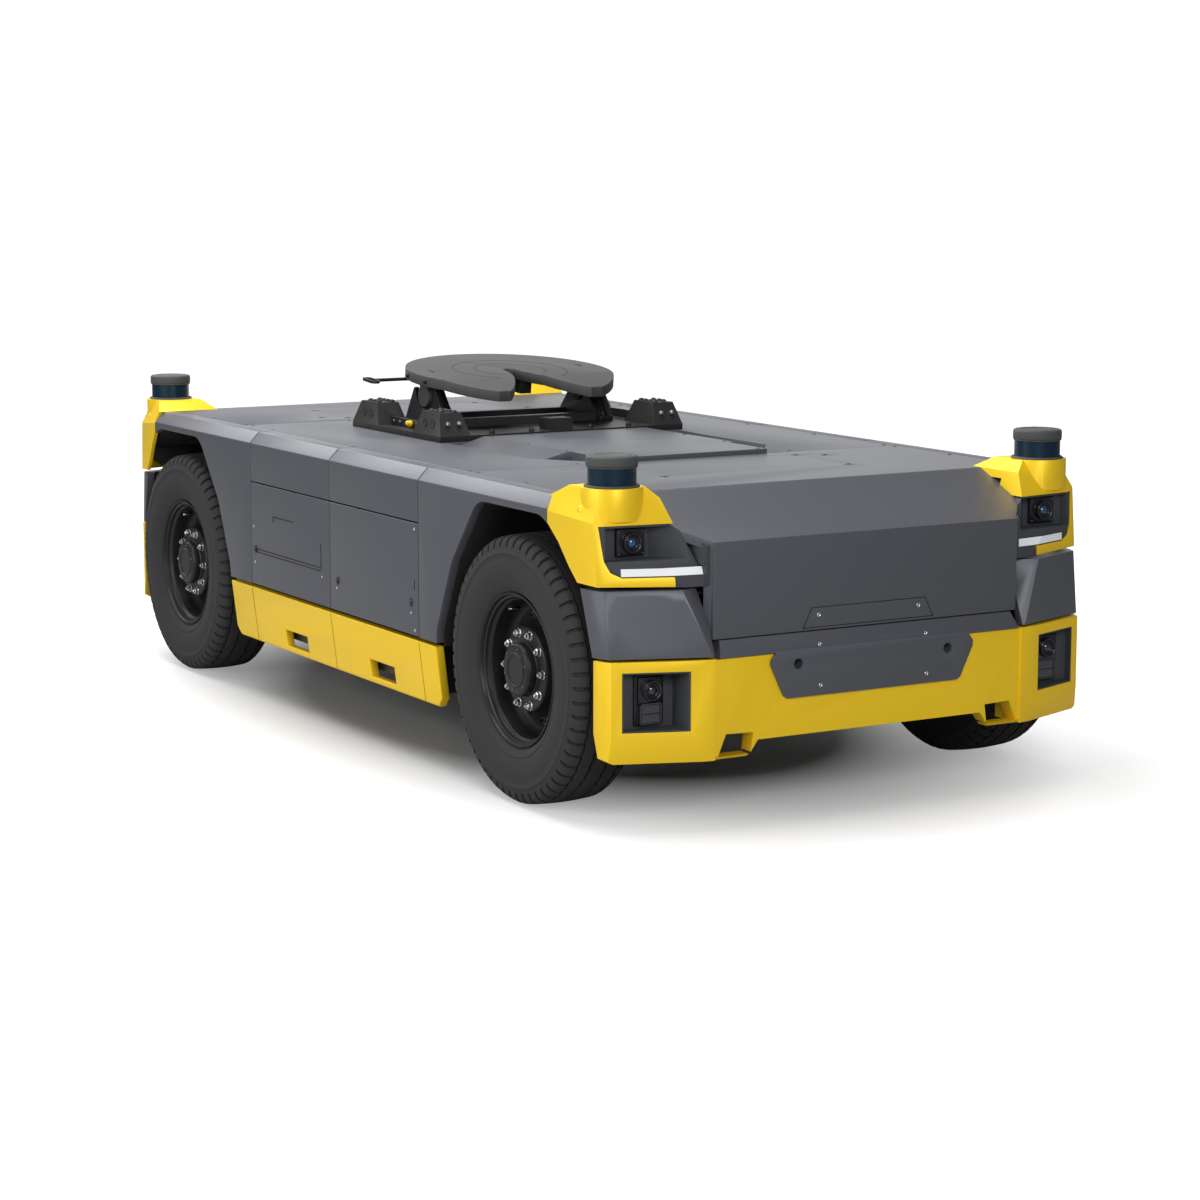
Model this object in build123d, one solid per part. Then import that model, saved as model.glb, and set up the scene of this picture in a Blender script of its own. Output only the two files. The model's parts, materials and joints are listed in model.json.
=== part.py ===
from build123d import *
import math
import os

# Low cabless terminal tractor, the same at both ends: four steered wheels, a battery between
# the axles, faceted body panels, and a tilting coupling plate on the deck.
# Millimetres. X runs along the machine, +X being the end where a trailer's kingpin enters,
# Y across it and Z up. The origin is on the ground under the middle of the machine.

# Overall
HALF_WIDTH = 1150.0           # outer face of the side panels
WHEELBASE = 3336.0
OVERHANG = 242.0              # the bumper's front beyond the tyres
SEAM = 6.0                    # shut line between panels
SEAT_GAP = 0.3                # play between faces on different bodies

# Wheels and steering
TYRE_INSET = 150.0            # tyres' centre planes from the sides
TYRE_RADIUS = 522.0
TYRE_WIDTH = 298.0
BEAD_RADIUS = 286.0           # where the tyre sits on the rim
FLANGE_RADIUS = 298.5
RIM_WIDTH = 252.0             # between the flanges' outer faces
KINGPIN_OFFSET = 150.0        # kingpin from the tyre's centre plane
SPINDLE_RADIUS = 48.0
SPINDLE_LENGTH = 222.0        # from the kingpin's axis to the spindle's tip
KINGPIN_RADIUS = 24.0
KNUCKLE_BOSS_RADIUS = 52.0
KNUCKLE_HEIGHT = 210.0
RUNNING_FIT = 0.05            # radial play of a shaft in its bore

# Axles
BEAM_WIDTH = 150.0
BEAM_HEIGHT = 120.0
YOKE_THICKNESS = 42.0
SPRING_RADIUS = 105.0
SPRING_REACH = 235.0          # each air spring stands this far along from the axle
SPRING_SEAT = 20.0            # thickness of the plate that carries two springs
SPRING_HEIGHT = 188.0

# Wheel arches
ARCH_CLEARANCE = 106.0        # over the tyre
ARCH_GAP = 100.0              # in front of the tyre and behind it
ARCH_RADIUS_EASE = 130.0      # rounding of the wheel arch's corners
WELL_THICKNESS = 12.0
WELL_INNER = 600.0            # inner wall of the wheel well from the centre line
WELL_SETBACK = 292.0          # the liner stops this far behind the bumper's front

# Levels that follow the arch
CREASE_RISE = 27.0            # from the arch's top to where the sides turn into the bevel
BEVEL_RISE = 49.0
BEVEL_RUN = 47.0
DECK_THICKNESS = 30.0
ARCH_TOP = 2 * TYRE_RADIUS + ARCH_CLEARANCE
CREASE_HEIGHT = ARCH_TOP + CREASE_RISE
DECK_TOP = CREASE_HEIGHT + BEVEL_RISE

# Chassis frame
RAIL_OUTER = 390.0            # outer face of a frame rail from the centre line
RAIL_WIDTH = 90.0
RAIL_HEIGHT = 170.0
RAIL_SETBACK = 132.0          # the rails end this far behind the bumper's front
MEMBER_WIDTH = 110.0
RIB_THICKNESS = 60.0          # outriggers that carry the side panels
END_BEAM_DEPTH = 66.0
END_BEAM_BOTTOM = 380.0

# Body
PANEL_THICKNESS = 40.0
DECK_STRIP = 66.0             # flat edge strip that the side panels fold over onto the deck
SEAM_LEAD = -800.0            # upright shut lines along the side
SEAM_MIDDLE = 47.0
SEAM_TRAILER = 895.0
SEAM_DROP = 174.0             # level shut line above the doors, below the crease
SIDE_BOTTOM = 535.0
FENDER_SETBACK = 469.0        # the side panel ends this far behind the bumper's front
BATTERY_BOTTOM = 300.0
BATTERY_CLEARANCE = 46.0      # between a battery and the panels around it

# Skirts with the fork pockets
SKIRT_TOP = 520.0
SKIRT_BOTTOM = 264.0
SKIRT_END_GAP = 3.0           # from the skirt's end to the wheel arch
SKIRT_TUCK = 30.0             # the skirt leans in by this much at its foot
SKIRT_CHAMFER = 42.0
POCKET_LENGTH = 236.0
POCKET_HEIGHT = 74.0
POCKET_BOTTOM = 294.0
POCKET_CENTRES = (-361.0, 508.0)

# Hood and bumper
HOOD_START = 1120.0           # shut line between the deck and the hood
HOOD_SETBACK = 27.0           # the hood's upright front behind the bumper's
HOOD_SLOPE_LENGTH = 405.0
HOOD_DROP = 154.0             # fall of that slope
HOOD_BOTTOM = 712.0
HOOD_WALL = 34.0
HAND_HOLDS = ((1240.0, 450.0), (1300.0, 560.0), (1640.0, 440.0))   # X and Y on the hood
HAND_HOLD_RADIUS = 32.0
HAND_HOLD_DEPTH = 9.0
BUMPER_TOP = 642.0
BUMPER_BOTTOM = 326.0
BUMPER_DEPTH = 66.0
SCOOP_BOTTOM = 266.0          # the bumper's ends hang down to this level
SCOOP_TOP = 360.0             # roof of the opening through each end
SCOOP_FLOOR = 10.0
BUMPER_END = 191.0            # width of those ends, which are pieces of their own

# Corner modules. Places along are set back from the bumper's front, and places across are inset
# from the machine's side
MODULE_WIDTH = 444.0
MODULE_BOTTOM = 267.0
MODULE_WALL = 24.0
SIDE_TAPER = 0.1466           # the corner's side draws in by this much for each length
BASE_TOP = 646.0
BASE_SKIN_SETBACK = 194.0     # rear edge of the base's side skin
BASE_BACK_SETBACK = 150.0     # its front wall and top lie in front of this
BASE_CREASE = 360.0           # below this the front leans back
BASE_EDGE = ((111.0, 68.0), (8.0, 347.0), (-6.0, 444.0))
BAND_BOTTOM = 655.0
BAND_GAP = 8.0                # shut line between the band and the cap
BAND_WALL = 40.0
BAND_FOOT_EDGE = ((122.0, 66.0), (-12.0, 431.0), (-8.0, 440.0))
BAND_HEAD_EDGE = ((156.0, 60.0), (40.0, 329.0), (98.0, 440.0))
BAND_BACK_SETBACKS = (204.0, 275.0)
CAP_RISE = 46.0               # the cap's flat top above the deck
CAP_HEIGHT = 361.0
CAP_WALL = 16.0
CAP_REAR_SETBACK = 482.0      # the cap's ramp leaves the deck here
CAP_FLAT_SETBACK = 396.0      # and reaches its flat top here
LAMP_DROP = 134.0             # head of the headlamp below the cap's top
STRIP_HEIGHT = 38.0           # yellow strip under the light bar
STRIP_INSET = 315.0           # inner end of that strip
BAR_GAP = 5.0                 # from that strip to the bar
BAR_HEIGHT = 28.0
CAMERA_INSET = 197.0
CAMERA_RISE = 160.0           # above the cap's foot
CAMERA_HALF_WIDTH = 59.0
CAMERA_HALF_HEIGHT = 50.0
CAMERA_LENS_RADIUS = 37.0
LOW_LAMP_INSET = 232.0
RECESS_SETBACK = 210.0        # back wall of the headlamp's recess
LIDAR_SETBACK = 272.0
LIDAR_INSET = 164.0
LIDAR_RADIUS = 91.0
LIDAR_CAP_RADIUS = 97.0
LIDAR_COLLAR_RADIUS = 116.0
LIDAR_HEIGHT = 78.0
LIDAR_CAP_HEIGHT = 38.0
LAMP_POCKET_INSETS = (106.0, 347.0)
LAMP_POCKET_LEVELS = (384.0, 607.0)
LAMP_POCKET_SETBACK = 136.0
LINER_WALL = 6.0

# Centre cover on the deck
COVER_RISE = 20.0
COVER_HALF_WIDTH = 412.0
COVER_EDGE = 384.0            # half width of the cover's front part
BED_DEPTH = 22.0
BED_HALF_WIDTH = 590.0
BED_TAPER_START = 800.0
BED_TAPER_END = 1070.0
BED_MARGIN = 8.0
WING_GAP = 30.0
WING_END = 815.0

# Tow sockets in the bumper plate
SOCKET_Y = 345.0
SOCKET_Z = 598.0
SOCKET_RADIUS = 20.0
SOCKET_WALL = 9.0
PLATE_PROUD = 12.0            # the bumper's dark plate stands out by this much

# Coupling
PIVOT_X = -460.0
PIVOT_RISE = 159.0            # pivot's axis above the deck
PLATE_RADIUS = 480.0
PLATE_RISE = 105.0            # top face above the pivot's axis
PLATE_SKIRT = 48.0            # depth of the plate's edge
PLATE_SKIN = 17.0
PLATE_FRONT = 400.0           # the horns are cut off here
PLATE_REST_TILT = 5.0         # degrees, nose down towards +X
RAMP_START = 190.0            # the plate bends down from here towards its mouth
RAMP_ANGLE = 7.0
THROAT_RADIUS = 30.0
THROAT_HALF_MOUTH = 205.0
THROAT_BOW = 0.35             # share of the throat's widening reached at its bend
THROAT_BEND = 220.0
SADDLE_CENTRE = 400.0         # middle of a saddle bracket from the centre line
SADDLE_THICKNESS = 70.0       # over both of its plates
SADDLE_LEG = 30.0             # inner plate, with the bearing notch
SADDLE_FACE = 22.0            # outer plate, with the wide notch
SADDLE_FOOT = 210.0           # half length of its foot
SADDLE_PEAK = 34.0            # its peaks above the pivot's axis
BEARING_RADIUS = 52.0
BEARING_PLAY = 0.5
WIDE_NOTCH_RADIUS = 96.0
JAW_HALF_WIDTH = 95.0
HANDLE_X = -190.0             # release rod from the pivot, along the plate
HANDLE_RADIUS = 8.0
HANDLE_REACH = 600.0
BASE_LEAD = -830.0
BASE_TRAILER = 60.0
BASE_MARGIN = 185.0           # from a saddle to the base's side
BASE_THICKNESS = 26.0
BASE_RAIL_HEIGHT = 38.0
BASE_RAIL_WIDTH = 16.0
BLOCK_FOOT = (270.0, 150.0)
BLOCK_HEAD = (170.0, 104.0)
BLOCK_HEIGHT = 98.0

AXLE_X = WHEELBASE / 2
WHEEL_Y = HALF_WIDTH - TYRE_INSET
KINGPIN_Y = WHEEL_Y - KINGPIN_OFFSET
INNER_FACE = HALF_WIDTH - PANEL_THICKNESS
DECK_BOTTOM = DECK_TOP - DECK_THICKNESS
BEVEL_TOP_Y = HALF_WIDTH - BEVEL_RUN
DECK_EDGE = BEVEL_TOP_Y - DECK_STRIP
BED_FLOOR = DECK_TOP - BED_DEPTH
COVER_TOP = DECK_TOP + COVER_RISE
RAIL_BOTTOM = TYRE_RADIUS + BEAM_HEIGHT / 2 + SPRING_SEAT + SPRING_HEIGHT
RAIL_TOP = RAIL_BOTTOM + RAIL_HEIGHT
RAIL_MIDDLE = RAIL_OUTER - RAIL_WIDTH / 2
BUMPER_FRONT = AXLE_X + TYRE_RADIUS + OVERHANG
BUMPER_BACK = BUMPER_FRONT - BUMPER_DEPTH
RAIL_END = BUMPER_FRONT - RAIL_SETBACK
WELL_END = BUMPER_FRONT - WELL_SETBACK
FENDER_END = BUMPER_FRONT - FENDER_SETBACK
SKIRT_HALF_LENGTH = AXLE_X - TYRE_RADIUS - ARCH_GAP - SKIRT_END_GAP
HOOD_FRONT = BUMPER_FRONT - HOOD_SETBACK
HOOD_SLOPE_TOP = HOOD_FRONT - HOOD_SLOPE_LENGTH
HOOD_CREASE = DECK_TOP - HOOD_DROP
MODULE_INNER = HALF_WIDTH - MODULE_WIDTH
HOOD_HALF_WIDTH = MODULE_INNER - SEAM
CAP_REAR = BUMPER_FRONT - CAP_REAR_SETBACK
CAP_FLAT_REAR = BUMPER_FRONT - CAP_FLAT_SETBACK
CAP_TOP = DECK_TOP + CAP_RISE
CAP_BOTTOM = CAP_TOP - CAP_HEIGHT
BAND_TOP = CAP_BOTTOM - BAND_GAP
LAMP_TOP = CAP_TOP - LAMP_DROP
STRIP_TOP = CAP_BOTTOM + STRIP_HEIGHT
BAR_BOTTOM = STRIP_TOP + BAR_GAP
BAR_TOP = BAR_BOTTOM + BAR_HEIGHT
SEAM_LEVEL = CREASE_HEIGHT - SEAM_DROP
HOOD_FOOT = HOOD_BOTTOM - 112  # the hood's space is drawn down to here
LIDAR_X = BUMPER_FRONT - LIDAR_SETBACK
LIDAR_Y = HALF_WIDTH - LIDAR_INSET
BASE_HALF_WIDTH = SADDLE_CENTRE + SADDLE_THICKNESS / 2 + BASE_MARGIN
PIVOT_Z = DECK_TOP + PIVOT_RISE
EVERYWHERE = 3000.0           # reach of a cutting tool past the machine

ENDS = (("trailer_end", 1), ("lead_end", -1))
SIDES = (("right", 1), ("left", -1))


def box(x0, x1, y0, y1, z0, z1):
    """A box between two corners."""
    centre = ((x0 + x1) / 2, (y0 + y1) / 2, (z0 + z1) / 2)
    return Pos(*centre) * Box(abs(x1 - x0), abs(y1 - y0), abs(z1 - z0))


def along_y(points, y0, y1, ease=0.0, eased=()):
    """Prism across the machine from an outline in X and Z, some corners rounded."""
    outline = make_face(Plane.XZ * Polyline(*points, close=True))
    if ease:
        corners = [v for v in outline.vertices() for p in eased
                   if abs(v.X - p[0]) < 1 and abs(v.Z - p[1]) < 1]
        outline = fillet(corners, ease)
    solid = extrude(outline, amount=abs(y1 - y0), dir=(0, 1, 0))
    return Pos(0, min(y0, y1), 0) * solid


def along_x(points, x0, x1):
    """Prism along the machine from an outline in Y and Z."""
    outline = make_face(Plane.YZ * Polyline(*points, close=True))
    return Pos(min(x0, x1), 0, 0) * extrude(outline, amount=abs(x1 - x0), dir=(1, 0, 0))


def along_z(points, z0, z1):
    """Upright prism from an outline in X and Y."""
    outline = make_face(Polyline(*points, close=True))
    return Pos(0, 0, z0) * extrude(outline, amount=z1 - z0, dir=(0, 0, 1))


def half_space(p, q, r, inside):
    """The side of the plane through three points on which a fourth point lies."""
    p, q, r, inside = (Vector(*v) for v in (p, q, r, inside))
    normal = (q - p).cross(r - p)
    if normal.dot(inside - p) > 0:
        normal = -normal
    plane = Plane(origin=p, x_dir=q - p, z_dir=normal)
    return plane * Pos(0, 0, -EVERYWHERE / 2) * Box(2 * EVERYWHERE, 2 * EVERYWHERE, EVERYWHERE)


def end_points(table):
    """X and Y of points given as setbacks from the bumper's front and insets from the side."""
    return [(BUMPER_FRONT - back, HALF_WIDTH - inset) for back, inset in table]


def other_side(shape):
    return shape.mirror(Plane.XZ)


def other_end(shape):
    return shape.mirror(Plane.YZ)


def both_sides(shape):
    return [shape, other_side(shape)]


def both_ends(shapes):
    return shapes + [other_end(s) for s in shapes]


def placed(shape, end, side):
    """A shape drawn at the +X, +Y corner, moved to the named end and side."""
    if side < 0:
        shape = other_side(shape)
    if end < 0:
        shape = other_end(shape)
    return shape


def save(name, shapes):
    """Write one node; several solids that do not touch may share it."""
    if not isinstance(shapes, list):
        shapes = [shapes]
    solids = [s for shape in shapes for s in shape.solids()]
    export_step(Compound(children=solids) if len(solids) > 1 else solids[0],
                f"parts/{name}.step")


# Wheels: drawn at the +X, +Y corner
def rim():
    """Dished disc wheel with its hub and drum, turned about the spindle's axis."""
    face = WHEEL_Y + RIM_WIDTH / 2
    back = WHEEL_Y - RIM_WIDTH / 2
    barrel = BEAD_RADIUS - 14
    bore = SPINDLE_RADIUS + RUNNING_FIT
    tip = KINGPIN_Y + SPINDLE_LENGTH + SEAT_GAP
    hub_inner = KINGPIN_Y + 82
    # radius, place along Y
    section = [
        (0, face + 2), (96, face + 2), (103, face - 8), (103, face - 60), (166, face - 66),
        (178, face - 84), (214, face - 118), (240, face - 128), (barrel, face - 92),
        (barrel + 4, face - 16), (FLANGE_RADIUS - 4, face), (FLANGE_RADIUS, face - 4),
        (FLANGE_RADIUS, face - 12), (BEAD_RADIUS, face - 16), (BEAD_RADIUS, back + 16),
        (FLANGE_RADIUS, back + 12), (FLANGE_RADIUS, back), (barrel, back),
        (barrel, face - 132), (240, face - 140), (206, face - 136), (206, hub_inner + 6),
        (120, hub_inner), (bore, hub_inner), (bore, tip), (0, tip),
    ]
    outline = make_face(Polyline(*[(r, y) for r, y in section], close=True))
    turned = revolve(outline, Axis.Y, 360)
    return Pos(AXLE_X, 0, TYRE_RADIUS) * turned


def tyre():
    """Radial truck tyre: crowned tread, round shoulders and bulged walls."""
    half = TYRE_WIDTH / 2
    bead = RIM_WIDTH / 2 - 16
    shoulder = TYRE_RADIUS - 22
    right = [(BEAD_RADIUS, bead), (BEAD_RADIUS + 14, bead + 4)]
    wall = ThreePointArc((BEAD_RADIUS + 14, bead + 4), (TYRE_RADIUS - 130, half),
                         (shoulder, half - 12))
    edge = Line((shoulder, half - 12), (TYRE_RADIUS - 6, half - 34))
    crown = ThreePointArc((TYRE_RADIUS - 6, half - 34), (TYRE_RADIUS, 0),
                          (TYRE_RADIUS - 6, 34 - half))
    far_edge = Line((TYRE_RADIUS - 6, 34 - half), (shoulder, 12 - half))
    far_wall = ThreePointArc((shoulder, 12 - half), (TYRE_RADIUS - 130, -half),
                             (BEAD_RADIUS + 14, -bead - 4))
    foot = Line((BEAD_RADIUS, bead), right[1])
    far_foot = Line((BEAD_RADIUS + 14, -bead - 4), (BEAD_RADIUS, -bead))
    seat = Line((BEAD_RADIUS, -bead), (BEAD_RADIUS, bead))
    outline = make_face([foot, wall, edge, crown, far_edge, far_wall, far_foot, seat])
    turned = revolve(outline, Axis.Y, 360)
    return Pos(AXLE_X, WHEEL_Y, TYRE_RADIUS) * turned


def knuckle():
    """Kingpin boss with the spindle that carries the wheel, and a steering arm."""
    half = KNUCKLE_HEIGHT / 2
    boss = Cylinder(KNUCKLE_BOSS_RADIUS, KNUCKLE_HEIGHT)
    pin = Cylinder(KINGPIN_RADIUS, KNUCKLE_HEIGHT + 2 * YOKE_THICKNESS)
    spindle = Pos(0, SPINDLE_LENGTH / 2, 0) * Rot(90, 0, 0) * Cylinder(SPINDLE_RADIUS, SPINDLE_LENGTH)
    arm = box(-150, 0, -22, 22, -half + 20, -half + 50)
    return Pos(AXLE_X, KINGPIN_Y, TYRE_RADIUS) * (boss + pin + spindle + arm)


def axle_beam():
    """Box beam with a forked yoke round each knuckle and seats for four air springs."""
    yoke_inner = KINGPIN_Y - KNUCKLE_BOSS_RADIUS - 20
    beam = box(-BEAM_WIDTH / 2, BEAM_WIDTH / 2, -yoke_inner, yoke_inner,
               -BEAM_HEIGHT / 2, BEAM_HEIGHT / 2)
    seat_top = BEAM_HEIGHT / 2 + SPRING_SEAT
    for side in (1, -1):
        seat = box(-SPRING_REACH - 80, SPRING_REACH + 80, RAIL_MIDDLE - 90, RAIL_MIDDLE + 90,
                   BEAM_HEIGHT / 2 - 1, seat_top)
        web = box(-BEAM_WIDTH / 2, BEAM_WIDTH / 2, yoke_inner - 40, yoke_inner,
                  -KNUCKLE_HEIGHT / 2 - YOKE_THICKNESS, KNUCKLE_HEIGHT / 2 + YOKE_THICKNESS)
        reach = KINGPIN_Y - yoke_inner
        gap = KNUCKLE_HEIGHT / 2 + SEAT_GAP
        ears = []
        for low in (gap, -gap - YOKE_THICKNESS):
            ear = box(-BEAM_WIDTH / 2, BEAM_WIDTH / 2, yoke_inner - 1, yoke_inner + reach,
                      low, low + YOKE_THICKNESS)
            nose = Pos(0, KINGPIN_Y, low + YOKE_THICKNESS / 2) * Cylinder(
                BEAM_WIDTH / 2, YOKE_THICKNESS)
            bore = Pos(0, KINGPIN_Y, low + YOKE_THICKNESS / 2) * Cylinder(
                KINGPIN_RADIUS + RUNNING_FIT, YOKE_THICKNESS + 2)
            ears.append(ear + nose - bore)
        fork = web + ears[0] + ears[1]
        part = seat + fork
        beam = beam + (part if side > 0 else other_side(part))
    return Pos(AXLE_X, 0, TYRE_RADIUS) * beam


def air_springs():
    """Bellows between the axle's seats and the frame rails, with a waist between two lobes."""
    low = TYRE_RADIUS + BEAM_HEIGHT / 2 + SPRING_SEAT
    high = RAIL_BOTTOM
    rise = high - low
    waist = SPRING_RADIUS - 16
    foot = SPRING_RADIUS - 30
    lobe = rise / 2
    profile = [
        Line((0, 0), (foot, 0)),
        ThreePointArc((foot, 0), (SPRING_RADIUS, lobe / 2), (waist, lobe)),
        ThreePointArc((waist, lobe), (SPRING_RADIUS, 1.5 * lobe), (foot, rise)),
        Line((foot, rise), (0, rise)),
        Line((0, rise), (0, 0)),
    ]
    outline = make_face([Plane.XZ * edge for edge in profile])
    bellows = revolve(outline, Axis.Z, 360)
    springs = [Pos(AXLE_X + dx, RAIL_MIDDLE, low) * bellows for dx in (-SPRING_REACH, SPRING_REACH)]
    return both_ends([s for spring in springs for s in both_sides(spring)])


# Chassis frame
def frame_rails():
    rail = box(-RAIL_END, RAIL_END, RAIL_OUTER - RAIL_WIDTH, RAIL_OUTER, RAIL_BOTTOM, RAIL_TOP)
    return both_sides(rail)


MEMBER_END = RAIL_END - 70
MEMBER_PLACES = (-MEMBER_END, -1250.0, -640.0, 0.0, 640.0, 1250.0, MEMBER_END)


def cross_members():
    """Members between the rails, each with a post that carries the deck."""
    inner = RAIL_OUTER - RAIL_WIDTH
    half = MEMBER_WIDTH / 2
    members = []
    for x in MEMBER_PLACES:
        bar = box(x - half, x + half, -inner, inner, RAIL_BOTTOM + 30, RAIL_TOP - 10)
        post = box(x - half / 2, x + half / 2, -inner + 60, inner - 60, RAIL_TOP - 11, DECK_BOTTOM)
        piece = bar + post
        if abs(x) > HOOD_SLOPE_TOP:
            slope = hood_underside_cut()
            piece = piece - (slope if x > 0 else other_end(slope))
        members.append(piece)
    return members


def hood_underside_cut():
    """The space above the underside of the +X hood's slope."""
    drop = HOOD_WALL + 1
    high = DECK_TOP + 300
    return along_y([(HOOD_SLOPE_TOP - 200, DECK_BOTTOM), (HOOD_SLOPE_TOP - drop, DECK_BOTTOM),
                    (HOOD_FRONT - drop, HOOD_CREASE - drop), (HOOD_FRONT + 50, HOOD_CREASE - drop),
                    (HOOD_FRONT + 50, high), (HOOD_SLOPE_TOP - 200, high)],
                   -EVERYWHERE, EVERYWHERE)


RIB_PLACES = (SEAM_LEAD, SEAM_MIDDLE, SEAM_TRAILER)


def outriggers():
    """Ribs from the rails out to the side panels, one behind each upright shut line."""
    inset = PANEL_THICKNESS * 0.6
    ribs = []
    for x in RIB_PLACES:
        outline = [
            (RAIL_OUTER, RAIL_BOTTOM), (RAIL_OUTER + 60, BATTERY_BOTTOM),
            (INNER_FACE - SKIRT_TUCK, BATTERY_BOTTOM), (INNER_FACE, SKIRT_TOP + 4),
            (INNER_FACE, CREASE_HEIGHT - inset / 2), (INNER_FACE - inset, DECK_BOTTOM),
            (RAIL_OUTER, DECK_BOTTOM),
        ]
        rib = along_x(outline, x - RIB_THICKNESS / 2, x + RIB_THICKNESS / 2)
        ribs += both_sides(rib)
    return ribs


def batteries():
    """Battery blocks between the outriggers."""
    packs = []
    for x0, x1 in zip(RIB_PLACES[:-1], RIB_PLACES[1:]):
        low = x0 + RIB_THICKNESS / 2
        high = x1 - RIB_THICKNESS / 2
        pack = box(low, high, RAIL_OUTER + 70, INNER_FACE - BATTERY_CLEARANCE,
                   BATTERY_BOTTOM + 10, DECK_BOTTOM - BATTERY_CLEARANCE)
        packs += both_sides(pack)
    return packs


# Body panels
def side_section(bottom):
    """Section of a side panel that bends over the bevel onto the deck."""
    t = PANEL_THICKNESS
    step = t * 0.6
    return [
        (HALF_WIDTH, bottom), (HALF_WIDTH, CREASE_HEIGHT), (BEVEL_TOP_Y, DECK_TOP),
        (DECK_EDGE, DECK_TOP), (DECK_EDGE, DECK_BOTTOM),
        (INNER_FACE - step, DECK_BOTTOM), (INNER_FACE, CREASE_HEIGHT - step / 2),
        (INNER_FACE, bottom),
    ]


def arch_points(grow=0.0):
    """Outline of the +X wheel arch, opened by grow."""
    top = ARCH_TOP + grow
    front = AXLE_X - TYRE_RADIUS - ARCH_GAP - grow
    back = AXLE_X + TYRE_RADIUS + 1.62 * ARCH_GAP + grow
    return [
        (front, 200), (front + 4, TYRE_RADIUS + 63),
        (AXLE_X - 483 - grow * 0.8, ARCH_TOP - 270 + grow * 0.3),
        (AXLE_X - 263 - grow * 0.4, top), (AXLE_X + 237 + grow * 0.4, top),
        (AXLE_X + 482 + grow * 0.8, ARCH_TOP - 110 + grow * 0.4),
        (back - 22, TYRE_RADIUS + 198), (back, 400), (back, 200),
    ]


def arch_cut(y0, y1, grow=0.0):
    points = arch_points(grow)
    return along_y(points, y0, y1, ARCH_RADIUS_EASE, points[1:-2])


def side_panels():
    """Panels over the doors, folded over the bevel."""
    spans = ((SEAM_LEAD + SEAM / 2, SEAM_MIDDLE - SEAM / 2),
             (SEAM_MIDDLE + SEAM / 2, SEAM_TRAILER - SEAM / 2))
    return [s for x0, x1 in spans
            for s in both_sides(along_x(side_section(SEAM_LEVEL + SEAM / 2), x0, x1))]


def fenders(end):
    """Side panels over the wheel arches of one end."""
    start = SEAM_TRAILER if end > 0 else -SEAM_LEAD
    panel = along_x(side_section(SIDE_BOTTOM), start + SEAM / 2, FENDER_END)
    panel = panel - arch_cut(INNER_FACE - 200, HALF_WIDTH + 10)
    return [placed(panel, end, side) for side in (1, -1)]


def door(end):
    """Flat side door between the shut lines, hinged at its edge nearer the wheel."""
    seam = SEAM_TRAILER if end > 0 else -SEAM_LEAD
    middle = SEAM_MIDDLE if end > 0 else -SEAM_MIDDLE
    panel = box(middle + SEAM / 2, seam - SEAM / 2, INNER_FACE + SEAT_GAP, HALF_WIDTH,
                SIDE_BOTTOM + 3, SEAM_LEVEL - SEAM / 2)
    return panel


def skirt():
    """Yellow sill under the doors, leaning in at its foot, with two fork pockets."""
    section = [
        (INNER_FACE, SKIRT_TOP), (HALF_WIDTH, SKIRT_TOP),
        (HALF_WIDTH - SKIRT_TUCK, SKIRT_BOTTOM + 8), (HALF_WIDTH - SKIRT_TUCK - 10, SKIRT_BOTTOM),
        (INNER_FACE - SKIRT_TUCK, SKIRT_BOTTOM),
    ]
    half = SKIRT_HALF_LENGTH
    bar = along_x(section, -half, half)
    inner, outer = INNER_FACE - SKIRT_TUCK - 10, HALF_WIDTH + 10
    for s in (1, -1):
        corner = along_y([(s * (half - SKIRT_CHAMFER), SKIRT_BOTTOM - 1),
                          (s * (half + 1), SKIRT_BOTTOM - 1),
                          (s * (half + 1), SKIRT_BOTTOM + SKIRT_CHAMFER)], inner, outer)
        bar = bar - corner
    for x in POCKET_CENTRES:
        bar = bar - box(x - POCKET_LENGTH / 2, x + POCKET_LENGTH / 2, inner, outer,
                        POCKET_BOTTOM, POCKET_BOTTOM + POCKET_HEIGHT)
    return bar


def wheel_well():
    """Arch liner and inner wall round the +X, +Y wheel."""
    outer = arch_cut(WELL_INNER, INNER_FACE - SEAT_GAP, WELL_THICKNESS)
    inner = arch_cut(WELL_INNER + WELL_THICKNESS, INNER_FACE + 5)
    shell = outer - inner
    keep = box(0, WELL_END, 0, EVERYWHERE, SKIRT_TOP, DECK_BOTTOM)
    opening = box(AXLE_X - 340, AXLE_X + 340, WELL_INNER - 10, WELL_INNER + WELL_THICKNESS + 1,
                  0, TYRE_RADIUS + 200)
    return (shell & keep) - opening


def deck():
    """Plate between the side panels, with a sunken bed for the centre cover."""
    half = DECK_EDGE - SEAM / 2
    plate = box(-HOOD_START + SEAM / 2, HOOD_START - SEAM / 2, -half, half, DECK_BOTTOM, DECK_TOP)
    edge = COVER_EDGE + BED_MARGIN
    bed = [(BASE_TRAILER + SEAM / 2, BED_HALF_WIDTH), (BED_TAPER_START, BED_HALF_WIDTH),
           (BED_TAPER_END, edge), (HOOD_START, edge)]
    outline = bed + [(x, -y) for x, y in reversed(bed)]
    return plate - along_z(outline, BED_FLOOR, DECK_TOP + 1)


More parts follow.
